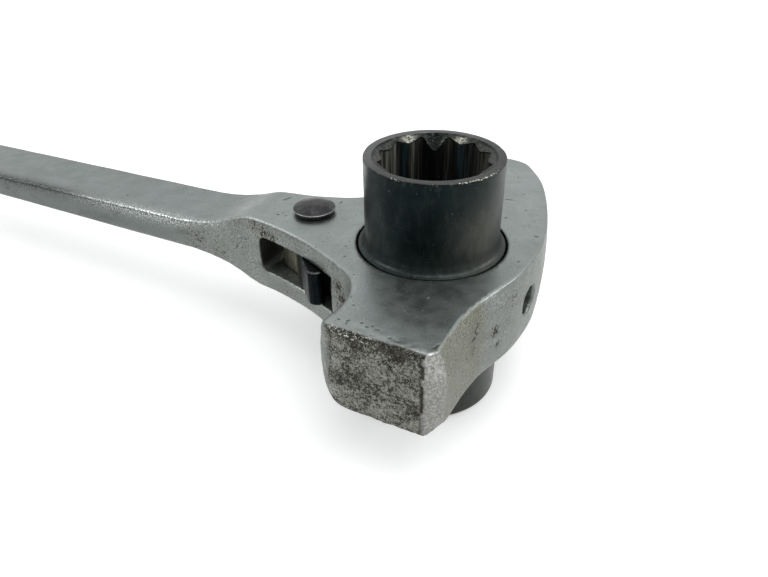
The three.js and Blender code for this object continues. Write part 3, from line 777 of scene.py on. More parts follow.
ph = 0.3
pawl = sdf_object("reversing_pawl_forged", pawl_field, spaced(-38.0, -10.2, ph), spaced(-19.2, 19.2, ph), spaced(-12.62, -3.9, ph),
                  {"edge": lambda v, n: step(0.93, 0.75, np.max(np.abs(np.stack([n[:, 2], np.hypot(n[:, 0], n[:, 1])])), 0))})


# ---------------------------------------------------------------------------------------------
# Turned pieces
# ---------------------------------------------------------------------------------------------
def revolve(name, profile, n, centre=(0, 0), axis="Z", height=0.0, ripple=0.0, seed=1, arc=None, edges=None):
    """A closed turned skin. profile is a list of (r, z); it starts and ends on the axis, or it closes on itself."""
    prof = np.array(profile, float)
    on_axis = prof[0, 0] < 1e-6 and prof[-1, 0] < 1e-6
    full = arc is None
    if full:
        th = np.arange(n) * 2 * np.pi / n
    else:
        th = np.linspace(arc[0], arc[1], n) * DEG
    lat = Lattice(seed)
    ring = prof[1:-1] if on_axis else prof
    R = ring[:, 0][:, None] * np.ones_like(th)[None, :]
    Z = ring[:, 1][:, None] * np.ones_like(th)[None, :]
    X, Y = R * np.cos(th), R * np.sin(th)
    if ripple:
        Z = Z + ripple * lat(X + 50, Y + 50, Z, 1.3)
        k = 1 + ripple * 0.25 * lat(X + 9, Y + 9, Z, 2.3)
        X, Y = X * k, Y * k
    V = np.stack([X, Y, Z], 2).reshape(-1, 3)
    m = len(ring)
    faces = []
    cols = n if full else n - 1
    rows_ = m - 1 if on_axis else m
    for i in range(rows_):
        for j in range(cols):
            a, b = i * n + j, i * n + (j + 1) % n
            c, d = ((i + 1) % m) * n + (j + 1) % n, ((i + 1) % m) * n + j
            faces.append((a, b, c, d))
    if on_axis:
        V = np.vstack([V, [[0, 0, prof[0, 1]], [0, 0, prof[-1, 1]]]])
        s, e = m * n, m * n + 1
        for j in range(cols):
            faces.append((s, (j + 1) % n, j))
            faces.append((e, (m - 1) * n + j, (m - 1) * n + (j + 1) % n))
    elif not full:
        faces.append(tuple(i * n for i in range(m)))
        faces.append(tuple(i * n + n - 1 for i in range(m))[::-1])
    if axis == "X":   # the profile's second number runs along +X
        V = np.stack([V[:, 2], V[:, 0], V[:, 1] + height], 1)
    V = V + np.array([centre[0], centre[1], 0])
    o = mesh_object(name, V, faces)
    vol_fix(o)
    return o


def vol_fix(o):
    """Turns the faces outwards if they look inwards."""
    me = o.data
    me.calc_loop_triangles()
    co = np.zeros(len(me.vertices) * 3)
    me.vertices.foreach_get("co", co)
    co = co.reshape(-1, 3)
    t = np.zeros(len(me.loop_triangles) * 3, np.int32)
    me.loop_triangles.foreach_get("vertices", t)
    t = t.reshape(-1, 3)
    c0 = co.mean(0)
    a, b, c = (co[t[:, i]] - c0 for i in range(3))
    if np.sum(a * np.cross(b, c)) < 0:
        me.flip_normals()
        me.update()


vol_fix(socket)
mark_sharp(socket, 32)

pin_profile = [(0, -18.75), (0.9, -18.74), (1.9, -18.66), (2.8, -18.48), (3.5, -18.22), (4.0, -17.97), (4.22, -17.82), (4.3, -17.72), (4.28, -17.66),
               (4.1, -17.64), (3.2, -17.64), (3.05, -17.5), (3.0, -17.3), (3.0, -12), (3.0, -6), (3.0, -1.2), (3.0, -0.4), (3.02, 0.02), (3.12, 0.07),
               (4.1, 0.07), (4.3, 0.09), (4.38, 0.16), (4.40, 0.3), (4.42, 0.5), (4.46, 0.66), (4.55, 0.8), (4.66, 0.91), (4.72, 1.0), (4.71, 1.07), (4.64, 1.13),
               (4.5, 1.19), (4.3, 1.26), (4.0, 1.37), (3.6, 1.52), (3.2, 1.66), (2.7, 1.81), (2.2, 1.93), (1.7, 2.03), (1.2, 2.11), (0.7, 2.16), (0.3, 2.185), (0, 2.19)]
pin = revolve("pawl_pin_rivet", pin_profile, 128, (PIVOT_X, 0), ripple=0.035, seed=5)
mark_sharp(pin, 40)
washer = revolve("thrust_washer_ring", [(15.7, -15.47), (15.78, -15.55), (16.92, -15.55), (17.0, -15.47), (17.0, -14.98), (16.92, -14.9),
                                        (15.78, -14.9), (15.7, -14.98)], 160)
mark_sharp(washer, 50)
circlip = revolve("retaining_ring_wire", [(15.7, -16.88), (15.82, -17.0), (17.88, -17.0), (18.0, -16.88), (18.0, -16.12), (17.88, -16.0),
                                          (15.82, -16.0), (15.7, -16.12)], 170, arc=(13, 347))
mark_sharp(circlip, 50)


def rear_flat_x():
    t = 10 * DEG
    c, s = math.cos(t), math.sin(t)
    p = (PIVOT_X - 7.9 * c, -7.9 * s)
    q = (PIVOT_X - 6.45 * c - 4.25 * s, -6.45 * s + 4.25 * c)
    return p[0] + (q[0] - p[0]) * (0 - p[1]) / (q[1] - p[1])


TIP = rear_flat_x() - 0.45
SHOULDER = TIP - 5.2
plunger = revolve("detent_plunger_turned", [(0, SHOULDER - 1.8), (0.5, SHOULDER - 1.8), (0.68, SHOULDER - 1.76), (0.78, SHOULDER - 1.66), (0.8, SHOULDER - 1.5),
                                            (0.8, SHOULDER - 0.1), (0.84, SHOULDER - 0.02), (1.45, SHOULDER), (1.6, SHOULDER + 0.06), (1.65, SHOULDER + 0.2),
                                            (1.65, SHOULDER + 2), (1.65, TIP - 1.6), (1.62, TIP - 1.3), (1.55, TIP - 1.02), (1.42, TIP - 0.76), (1.24, TIP - 0.52), (1.0, TIP - 0.31), (0.72, TIP - 0.15),
                                            (0.4, TIP - 0.045), (0.18, TIP - 0.01), (0, TIP)], 48, axis="X", height=AXIS_Z)
mark_sharp(plunger, 50)

SPRING_X0, SPRING_X1 = -46.6 + 0.3 + 0.27, SHOULDER - 0.3 - 0.27


def make_spring():
    turns, sides, per = 5, 14, 40
    n = turns * per + 1
    t = np.linspace(0, 1, n)
    # the end turns are closed, as on a real compression spring
    pitch = step(0, 1, np.clip(t * 3.2, 0, 1)) * step(1, 0, np.clip((t - 0.6875) * 3.2, 0, 1)) + 0.35
    s = np.cumsum(pitch)
    s = (s - s[0]) / (s[-1] - s[0])
    r = 1.33
    a = 2 * np.pi * turns * t
    C = np.stack([SPRING_X0 + (SPRING_X1 - SPRING_X0) * s, r * np.cos(a), AXIS_Z + r * np.sin(a)], 1)
    T = np.gradient(C, axis=0)
    T /= np.linalg.norm(T, axis=1)[:, None]
    radial = np.stack([np.zeros(n), np.cos(a), np.sin(a)], 1)
    radial -= np.sum(radial * T, 1)[:, None] * T
    radial /= np.linalg.norm(radial, axis=1)[:, None]
    other = np.cross(T, radial)
    w = np.arange(sides) * 2 * np.pi / sides
    V = (C[:, None, :] + 0.27 * (np.cos(w)[None, :, None] * radial[:, None, :] + np.sin(w)[None, :, None] * other[:, None, :])).reshape(-1, 3)
    faces = [(i * sides + j, i * sides + (j + 1) % sides, (i + 1) * sides + (j + 1) % sides, (i + 1) * sides + j)
             for i in range(n - 1) for j in range(sides)]
    faces.append(tuple(range(sides))[::-1])
    faces.append(tuple((n - 1) * sides + j for j in range(sides)))
    o = mesh_object("detent_spring_coil", V, faces)
    vol_fix(o)
    mark_sharp(o, 50)
    return o


spring = make_spring()


# ---------------------------------------------------------------------------------------------
# Materials
# ---------------------------------------------------------------------------------------------
class Nodes:
    def __init__(self, name):
        self.m = bpy.data.materials.new(name)
        self.m.use_nodes = True
        self.nt = self.m.node_tree
        self.nt.nodes.clear()
        self.out = self.nt.nodes.new("ShaderNodeOutputMaterial")
        self.bsdf = self.nt.nodes.new("ShaderNodeBsdfPrincipled")
        self.nt.links.new(self.bsdf.outputs[0], self.out.inputs["Surface"])
        tc = self.nt.nodes.new("ShaderNodeTexCoord")
        sc = self.nt.nodes.new("ShaderNodeVectorMath")
        sc.operation = "SCALE"
        sc.inputs["Scale"].default_value = 1000.0
        self.nt.links.new(tc.outputs["Object"], sc.inputs[0])
        self.mm = sc.outputs[0]   # object coordinates in millimetres

    def put(self, socket_, value):
        if isinstance(value, bpy.types.NodeSocket):
            self.nt.links.new(value, socket_)
        elif value is not None:
            if hasattr(socket_.default_value, "__len__") and not hasattr(value, "__len__"):
                value = (value, value, value) if len(socket_.default_value) == 3 else (value, value, value, 1)
            if hasattr(value, "__len__") and len(value) == 3 and len(socket_.default_value) == 4:
                value = (*value, 1.0)
            socket_.default_value = value

    def noise(self, size, detail=3.0, rough=0.55, vec=None, stretch=None, distortion=0.0):
        """Noise with features about `size` millimetres across, 0 to 1."""
        n = self.nt.nodes.new("ShaderNodeTexNoise")
        v = vec or self.mm
        if stretch:
            v = self.vmul(v, stretch)
        self.put(n.inputs["Vector"], v)
        n.inputs["Scale"].default_value = 1.0 / size
        n.inputs["Detail"].default_value = detail
        n.inputs["Roughness"].default_value = rough
        n.inputs["Distortion"].default_value = distortion
        return n.outputs["Fac"]

    def voronoi(self, size, vec=None, feature="F1", randomness=1.0):
        n = self.nt.nodes.new("ShaderNodeTexVoronoi")
        n.feature = feature
        self.put(n.inputs["Vector"], vec or self.mm)
        n.inputs["Scale"].default_value = 1.0 / size
        n.inputs["Randomness"].default_value = randomness
        return n.outputs["Distance"], n.outputs["Color"] if "Color" in n.outputs else None

    def vmul(self, v, k):
        n = self.nt.nodes.new("ShaderNodeVectorMath")
        n.operation = "MULTIPLY"
        self.put(n.inputs[0], v)
        n.inputs[1].default_value = k
        return n.outputs[0]

    def vadd(self, v, k):
        n = self.nt.nodes.new("ShaderNodeVectorMath")
        n.operation = "ADD"
        self.put(n.inputs[0], v)
        self.put(n.inputs[1], k)
        return n.outputs[0]

    def math(self, op, a, b=None, c=None, clamp=False):
        n = self.nt.nodes.new("ShaderNodeMath")
        n.operation = op
        n.use_clamp = clamp
        self.put(n.inputs[0], a)
        if b is not None:
            self.put(n.inputs[1], b)
        if c is not None:
            self.put(n.inputs[2], c)
        return n.outputs[0]

    def add(self, a, b):
        return self.math("ADD", a, b)

    def mul(self, a, b):
        return self.math("MULTIPLY", a, b)

    def inv(self, a):
        return self.math("SUBTRACT", 1.0, a)

    def ramp(self, fac, lo, hi, a=0.0, b=1.0, smooth=True):
        n = self.nt.nodes.new("ShaderNodeMapRange")
        n.interpolation_type = "SMOOTHSTEP" if smooth else "LINEAR"
        self.put(n.inputs["Value"], fac)
        n.inputs["From Min"].default_value = lo
        n.inputs["From Max"].default_value = hi
        n.inputs["To Min"].default_value = a
        n.inputs["To Max"].default_value = b
        return n.outputs["Result"]

    def mix(self, fac, a, b):
        n = self.nt.nodes.new("ShaderNodeMix")
        n.data_type = "RGBA"
        n.clamp_factor = True
        self.put(n.inputs[0], fac)
        self.put(n.inputs[6], a)
        self.put(n.inputs[7], b)
        return n.outputs[2]

    def mixf(self, fac, a, b):
        n = self.nt.nodes.new("ShaderNodeMix")
        n.data_type = "FLOAT"
        n.clamp_factor = True
        self.put(n.inputs[0], fac)
        self.put(n.inputs[2], a)
        self.put(n.inputs[3], b)
        return n.outputs[0]

    def attr(self, name):
        n = self.nt.nodes.new("ShaderNodeAttribute")
        n.attribute_name = name
        return n.outputs["Fac"]

    def xyz(self, v=None):
        n = self.nt.nodes.new("ShaderNodeSeparateXYZ")
        self.put(n.inputs[0], v or self.mm)
        return n.outputs[0], n.outputs[1], n.outputs[2]

    def bump(self, height, distance, strength=1.0, normal=None):
        """distance is in millimetres."""
        n = self.nt.nodes.new("ShaderNodeBump")
        n.inputs["Strength"].default_value = strength
        n.inputs["Distance"].default_value = distance * 0.001
        self.put(n.inputs["Height"], height)
        if normal is not None:
            self.put(n.inputs["Normal"], normal)
        return n.outputs["Normal"]

    def set(self, **k):
        names = {"color": "Base Color", "rough": "Roughness", "metal": "Metallic", "normal": "Normal"}
        for key, v in k.items():
            self.put(self.bsdf.inputs[names[key]], v)
        return self.m


# nicks in the head's top face: x, y, direction, half length, half width, depth of shade
NICKS = [(-37.21, 2.75, 62, 1.02, 0.23, 0.8), (-48.09, -1.82, 43, 0.8, 0.22, 0.6), (-36.41, -5.83, -22, 0.29, 0.26, 0.9),
         (-34.47, -4.86, -17, 0.35, 0.28, 0.9), (-32.61, -4.48, -15, 0.22, 0.22, 0.7),
         (-25.04, 6.54, 92, 0.45, 0.2, 0.8), (-24.18, 0.85, 87, 0.35, 0.2, 0.6), (-12.37, -13.72, -16, 0.22, 0.2, 0.6),
         (-2.79, -27.16, -10, 0.18, 0.23, 0.7), (-4.46, -25.19, -27, 0.19, 0.2, 0.6),
         (3.6, 41.62, 43, 0.63, 0.23, 0.8), (6.1, 42.26, 32, 0.56, 0.22, 0.7), (8.53, 24.33, 9, 0.9, 0.2, 0.75),
         (10.67, 28.68, 79, 0.4, 0.2, 0.5), (13.5, 20.7, 78, 0.36, 0.2, 0.5), (18.76, 10.26, -1, 0.46, 0.22, 0.7),
         (10.68, 15.45, 82, 0.44, 0.2, 0.6), (18.42, -0.76, 68, 0.27, 0.22, 0.6), (16.39, -15.57, 60, 0.55, 0.23, 0.9),
         (-1.44, -31.48, 77, 0.32, 0.23, 0.8), (-1.33, -32.2, 64, 0.18, 0.2, 0.7), (0.95, -31.08, -2, 0.23, 0.23, 0.8),
         (2.23, -31.6, -6, 0.3, 0.23, 0.7), (10.56, -33.56, 7, 0.36, 0.25, 0.85), (11.4, -33.61, -15, 0.22, 0.23, 0.8),
         (14.56, -31.38, 74, 0.67, 0.31, 0.95), (14.14, -31.89, 63, 0.2, 0.23, 0.8),
         (2.98, -30.95, -4, 0.27, 0.23, 0.7), (-4.48, -30.59, -7, 0.26, 0.2, 0.6),
         (-3.05, -31.81, -12, 0.27, 0.22, 0.7), (4.17, -31.51, -6, 0.35, 0.23, 0.7),
         (0.66, -34.37, -1, 0.28, 0.23, 0.7), (6.93, -32.57, 1, 0.36, 0.23, 0.7), (8.45, -32.82, -7, 0.23, 0.23, 0.8)]


def plate_material(top=False):
    """Satin plating on a blasted forging: worn bright at the edges, stained and pitted where it is hit."""
    s = Nodes("satin_plate_top" if top else "satin_plate_worn")
    # the flat top carries the nicks; what only the walls and edges show is left out there
    edge, inner, poll, facet, flank, side, spots = (0.0 if top else s.attr(a) for a in
                                                    ("edge", "inner", "poll", "facet", "flank", "side", "spots"))
    local = s.vadd(s.mm, tuple(-OFF))
    x, y, z = s.xyz(local)
    big = s.noise(14.0, 3, 0.55)
    mid = s.noise(3.0, 4, 0.6)
    fine = s.noise(0.75, 3, 0.6)
    grain = s.noise(0.34, 2, 0.5)
    peel = s.noise(0.55, 2, 0.55, vec=s.vadd(s.mm, (3, 1, 4)))
    # plating
    col = s.mix(s.ramp(big, 0.35, 0.65), (0.282, 0.308, 0.302), (0.335, 0.366, 0.360))
    col = s.mix(s.mul(s.ramp(mid, 0.45, 0.75), 0.30), col, (0.23, 0.255, 0.248))
    col = s.mix(s.mul(s.ramp(fine, 0.5, 0.75), 0.22), col, (0.21, 0.235, 0.228))
    # the handle is painted darker away from the head: painted shade
    col = s.mix(s.ramp(x, -50.0, -72.0, 0.0, 0.85), col, s.mix(s.ramp(s.noise(5.0, 4, 0.6, vec=s.vadd(s.mm, (4, 4, 4))), 0.35, 0.65), (0.215, 0.236, 0.232), (0.275, 0.300, 0.296)))
    col = s.mix(s.mul(s.ramp(x, -36.0, -46.0), 0.30), col, (0.20, 0.222, 0.216))
    col = s.mix(s.mul(s.ramp(x, 11.0, 19.0), 0.22), col, (0.20, 0.222, 0.216))
    # fine grain, with bright specks towards the hammer
    col = s.mix(s.mul(s.ramp(grain, 0.44, 0.68), 0.26), col, (0.17, 0.19, 0.184))
    pale = s.ramp(s.noise(0.26, 2, 0.5, vec=s.vadd(s.mm, (14, 2, 1))), 0.60, 0.70)
    col = s.mix(s.mul(s.mul(pale, s.ramp(y, -12.0, -22.0)), 0.35), col, (0.62, 0.66, 0.65))
    # the walls are rougher and show more of the blasting; their darker colour is partly that finish and partly painted
    # shade, darker still away from the head
    patch = s.ramp(s.noise(4.5, 3, 0.6, vec=s.vadd(s.mm, (6, 2, 9))), 0.35, 0.65)
    near_head = s.ramp(x, -75.0, -45.0, 0.35, 1.0)
    speck = s.mul(s.ramp(grain, 0.44, 0.58), s.math("MULTIPLY_ADD", patch, 0.5, 0.5))
    wall_lo = s.mix(patch, (0.140, 0.152, 0.142), (0.112, 0.124, 0.116))
    wall = s.mix(s.mul(speck, near_head), wall_lo, (0.275, 0.288, 0.270))
    wall = s.mix(s.inv(near_head), wall, (0.118, 0.134, 0.130))
    # bright stipple on the upper part of the neck's near wall
    stipple = s.mul(s.mul(s.ramp(x, -66.0, -52.0), s.ramp(x, -34.0, -42.0)), s.ramp(y, -4.0, -8.0))
    wall = s.mix(s.mul(stipple, s.ramp(s.noise(0.22, 3, 0.6, vec=s.vadd(s.mm, (2, 8, 1))), 0.55, 0.70)), wall, (0.42, 0.43, 0.41))
    smudge = s.ramp(s.noise(3.2, 4, 0.65, vec=s.vmul(s.vadd(s.mm, (5, 3, 21)), (0.45, 1.0, 1.0))), 0.50, 0.70)
    wall = s.mix(s.mul(smudge, 0.45), wall, (0.062, 0.068, 0.062))
    col = s.mix(s.mul(side, 0.9), col, wall)
    # a warm, thin patch of plating on the hammer's flank
    warm = s.mul(flank, s.ramp(mid, 0.25, 0.6, 0.65, 1.0))
    col = s.mix(s.mul(warm, 0.9), col, s.mix(speck, (0.112, 0.115, 0.085), (0.220, 0.222, 0.172)))
    # edges rubbed bright, partly wear and partly a painted highlight; along the handle's near edge the plating is
    # stippled, darker away from the head
    along_bar = s.ramp(x, -108.0, -72.0)
    near_top = s.mul(s.mul(edge, s.ramp(x, -30.0, -60.0)), s.ramp(y, 0.0, -5.0))
    stip = s.ramp(s.noise(0.42, 2, 0.6, vec=s.vadd(s.mm, (8, 8, 1))), 0.44, 0.64)
    col = s.mix(s.mul(near_top, s.inv(along_bar)), col, s.mix(stip, (0.040, 0.042, 0.040), (0.16, 0.17, 0.165)))
    wear_at = s.mul(edge, s.mixf(s.ramp(x, -45.0, -30.0), along_bar, 1.0))
    rub = s.noise(0.40, 4, 0.7)
    wear = s.mul(wear_at, s.mixf(s.ramp(x, -26.0, -16.0), s.ramp(rub, 0.47, 0.60), s.ramp(rub, 0.34, 0.56)))
    col = s.mix(wear, col, (0.72, 0.74, 0.73))
    # small nicks: short, thin and mostly in one direction
    nick_v = s.vmul(s.vadd(s.mm, (31, 7, 3)), (0.55, 1.35, 1.0))
    vd, _ = s.voronoi(2.9, vec=nick_v)
    nicks = s.mul(s.ramp(vd, 0.105, 0.05), s.ramp(s.noise(6.5, 2, 0.5), 0.50, 0.60))
    nick_v2 = s.vmul(s.vadd(s.mm, (1, 27, 13)), (1.5, 0.6, 1.0))
    vd3, _ = s.voronoi(2.3, vec=nick_v2)
    nicks = s.math("MAXIMUM", nicks, s.mul(s.ramp(vd3, 0.11, 0.05), s.ramp(s.noise(5.0, 2, 0.5, vec=s.vadd(s.mm, (2, 9, 9))), 0.55, 0.62)))
    # each nick's own axes are reached from the last one's, one after another
    at, cx, cy, ca = local, 0.0, 0.0, 0.0
    for nx, ny, turn, half_l, half_w, k in NICKS if top else ():
        a1 = turn * DEG
        node = s.nt.nodes.new("ShaderNodeMapping")
        node.vector_type = "POINT"
        s.put(node.inputs["Vector"], at)
        dx_, dy_ = cx - nx, cy - ny
        node.inputs["Location"].default_value = (math.cos(a1) * dx_ + math.sin(a1) * dy_, -math.sin(a1) * dx_ + math.cos(a1) * dy_, 0.0)
        node.inputs["Rotation"].default_value = (0.0, 0.0, ca - a1)
        at, cx, cy, ca = node.outputs[0], nx, ny, a1
        ln = s.nt.nodes.new("ShaderNodeVectorMath")
        ln.operation = "LENGTH"
        s.put(ln.inputs[0], s.vmul(at, (0.78 / half_l, 0.72 / half_w, 1 / 0.9)))
        nicks = s.math("MAXIMUM", nicks, s.ramp(s.math("MULTIPLY_ADD", fine, 0.8, ln.outputs["Value"]), 1.5, 1.15, 0.0, k))
    # gathered brown and black specks
    sp_n = s.noise(0.50, 3, 0.65, vec=s.vmul(s.vadd(s.mm, (12, 4, 7)), (1.0, 1.0, 0.75)))
    gather = s.ramp(s.math("MULTIPLY_ADD", spots, 0.26, sp_n), 0.675, 0.715)
    stray = s.mul(s.ramp(s.noise(0.38, 3, 0.65, vec=s.vadd(s.mm, (19, 5, 2))), 0.625, 0.665), s.mul(s.mul(side, 0.8), near_head))
    marks = s.math("MAXIMUM", s.math("MAXIMUM", nicks, gather), stray)
    col = s.mix(s.mul(spots, 0.45), col, (0.115, 0.100, 0.080))
    col = s.mix(s.mul(marks, 0.90), col, (0.022, 0.018, 0.012))
    # striking face: pitted, brown and black in the pits; denser along its top and at mid left
    top_band = s.ramp(z, -3.8, -1.0)
    blot = s.noise(3.0, 3, 0.62, vec=s.vadd(s.mm, (3, 3, 3)))
    dx = s.math("DIVIDE", s.add(x, -2.0), 4.5)
    dz = s.math("DIVIDE", s.add(z, 9.5), 1.6)
    band = s.math("EXPONENT", s.mul(s.add(s.mul(dx, dx), s.mul(dz, dz)), -1.0))
    # the lower right half is greyer
    dens = s.math("MULTIPLY_ADD", top_band, 0.070, s.math("MULTIPLY_ADD", band, 0.055, s.math("MULTIPLY_ADD", s.ramp(blot, 0.36, 0.64), 0.080, -0.030)))
    pit_a = s.noise(0.50, 4, 0.70)
    pit_b = s.noise(0.24, 2, 0.6, vec=s.vadd(s.mm, (3, 17, 9)))
    pit = s.ramp(s.add(s.math("MULTIPLY_ADD", pit_b, 0.50, s.mul(pit_a, 0.55)), dens), 0.532, 0.572)
    face = s.mix(s.ramp(s.noise(0.9, 4, 0.70), 0.36, 0.64), (0.115, 0.116, 0.100), (0.235, 0.240, 0.218))
    face = s.mix(s.mul(s.ramp(x, -0.5, -4.0), s.ramp(s.noise(0.5, 3, 0.7), 0.42, 0.60)), face, (0.34, 0.35, 0.335))
    brown = s.mix(s.ramp(s.noise(1.3, 3, 0.6, vec=s.vadd(s.mm, (11, 1, 5))), 0.40, 0.62), (0.005, 0.0045, 0.003), (0.032, 0.027, 0.017))
    face = s.mix(s.mul(pit, 0.90), face, brown)
    # bright flecks of bare metal along the top edge, towards the left
    fleck = s.mul(s.mul(s.ramp(z, -1.9, -0.7), s.ramp(x, 6.5, 2.0)), s.ramp(s.noise(0.55, 4, 0.75, vec=s.vadd(s.mm, (4, 4, 14))), 0.55, 0.64))
    face = s.mix(s.mul(fleck, 0.9), face, (0.80, 0.79, 0.74))
    # the upright edge beside the bevel is dark
    dark_edge = s.mul(s.ramp(s.math("ABSOLUTE", s.add(x, -13.72)), 0.80, 0.25), s.ramp(s.noise(0.9, 3, 0.6), 0.12, 0.38))
    face = s.mix(s.mul(dark_edge, 0.90), face, (0.022, 0.018, 0.013))
    col = s.mix(poll, col, face)
    # bright speckled bevel beside the face
    sp = s.ramp(s.noise(0.46, 5, 0.80, vec=s.vadd(s.mm, (5, 5, 5))), 0.33, 0.66)
    tint = s.mix(s.ramp(s.noise(1.2, 2, 0.5), 0.4, 0.6), (0.340, 0.330, 0.318), (0.300, 0.318, 0.304))
    tint = s.mix(s.mul(s.ramp(z, -9.0, -2.0), 0.55), tint, (0.56, 0.55, 0.53))
    col = s.mix(facet, col, s.mix(sp, (0.130, 0.128, 0.120), tint))
    # inside: bare metal, painted darker as shade, with the slot's upward faces painted lighter as painted light
    geo = s.nt.nodes.new("ShaderNodeNewGeometry")
    up = s.mul(s.ramp(s.xyz(geo.outputs["Normal"])[2], 0.3, 0.7), s.ramp(x, -8.0, -12.0))
    bare_painted_light_shade = s.mix(s.ramp(mid, 0.35, 0.65), (0.085, 0.092, 0.082), (0.14, 0.15, 0.138))
    bare_painted_light_shade = s.mix(up, bare_painted_light_shade, s.mix(s.ramp(s.noise(0.8, 4, 0.7), 0.36, 0.64), (0.20, 0.215, 0.195), (0.36, 0.38, 0.35)))
    col = s.mix(inner, col, bare_painted_light_shade)
    grime = s.math("MAXIMUM", s.mul(marks, 0.9), s.mul(poll, s.mul(pit, 0.85)))
    rough = s.ramp(mid, 0.3, 0.7, 0.33, 0.42)
    rough = s.mixf(side, rough, s.ramp(grain, 0.35, 0.65, 0.38, 0.52))
    rough = s.mixf(warm, rough, 0.50)
    rough = s.mixf(wear, rough, 0.30)
    rough = s.mixf(s.math("MAXIMUM", poll, facet), rough, 0.46)
    rough = s.mixf(grime, rough, 0.78)
    rough = s.mixf(inner, rough, 0.5)
    metal = s.mixf(grime, 1.0, 0.15)
    s.put(s.bsdf.inputs["Specular IOR Level"], s.mixf(grime, 0.5, 0.12))
    metal = s.mixf(s.mul(warm, 0.4), metal, 0.55)
    # relief
    h = s.mixf(side, s.mul(grain, 0.30), s.mul(peel, 1.0))
    n = s.bump(s.add(h, s.mul(fine, 0.35)), 0.05, 0.60)
    n = s.bump(s.mul(side, s.mul(near_head, peel)), 0.10, 0.5, n)
    n = s.bump(s.mixf(side, mid, s.noise(1.3, 3, 0.6)), 0.06, 0.35, n)
    n = s.bump(s.inv(s.math("MAXIMUM", marks, s.mul(poll, pit))), 0.12, 0.8, n)
    n = s.bump(s.mul(s.math("MAXIMUM", facet, edge), s.noise(0.45, 3, 0.7)), 0.10, 0.6, n)
    return s.set(color=col, rough=rough, metal=metal, normal=n)


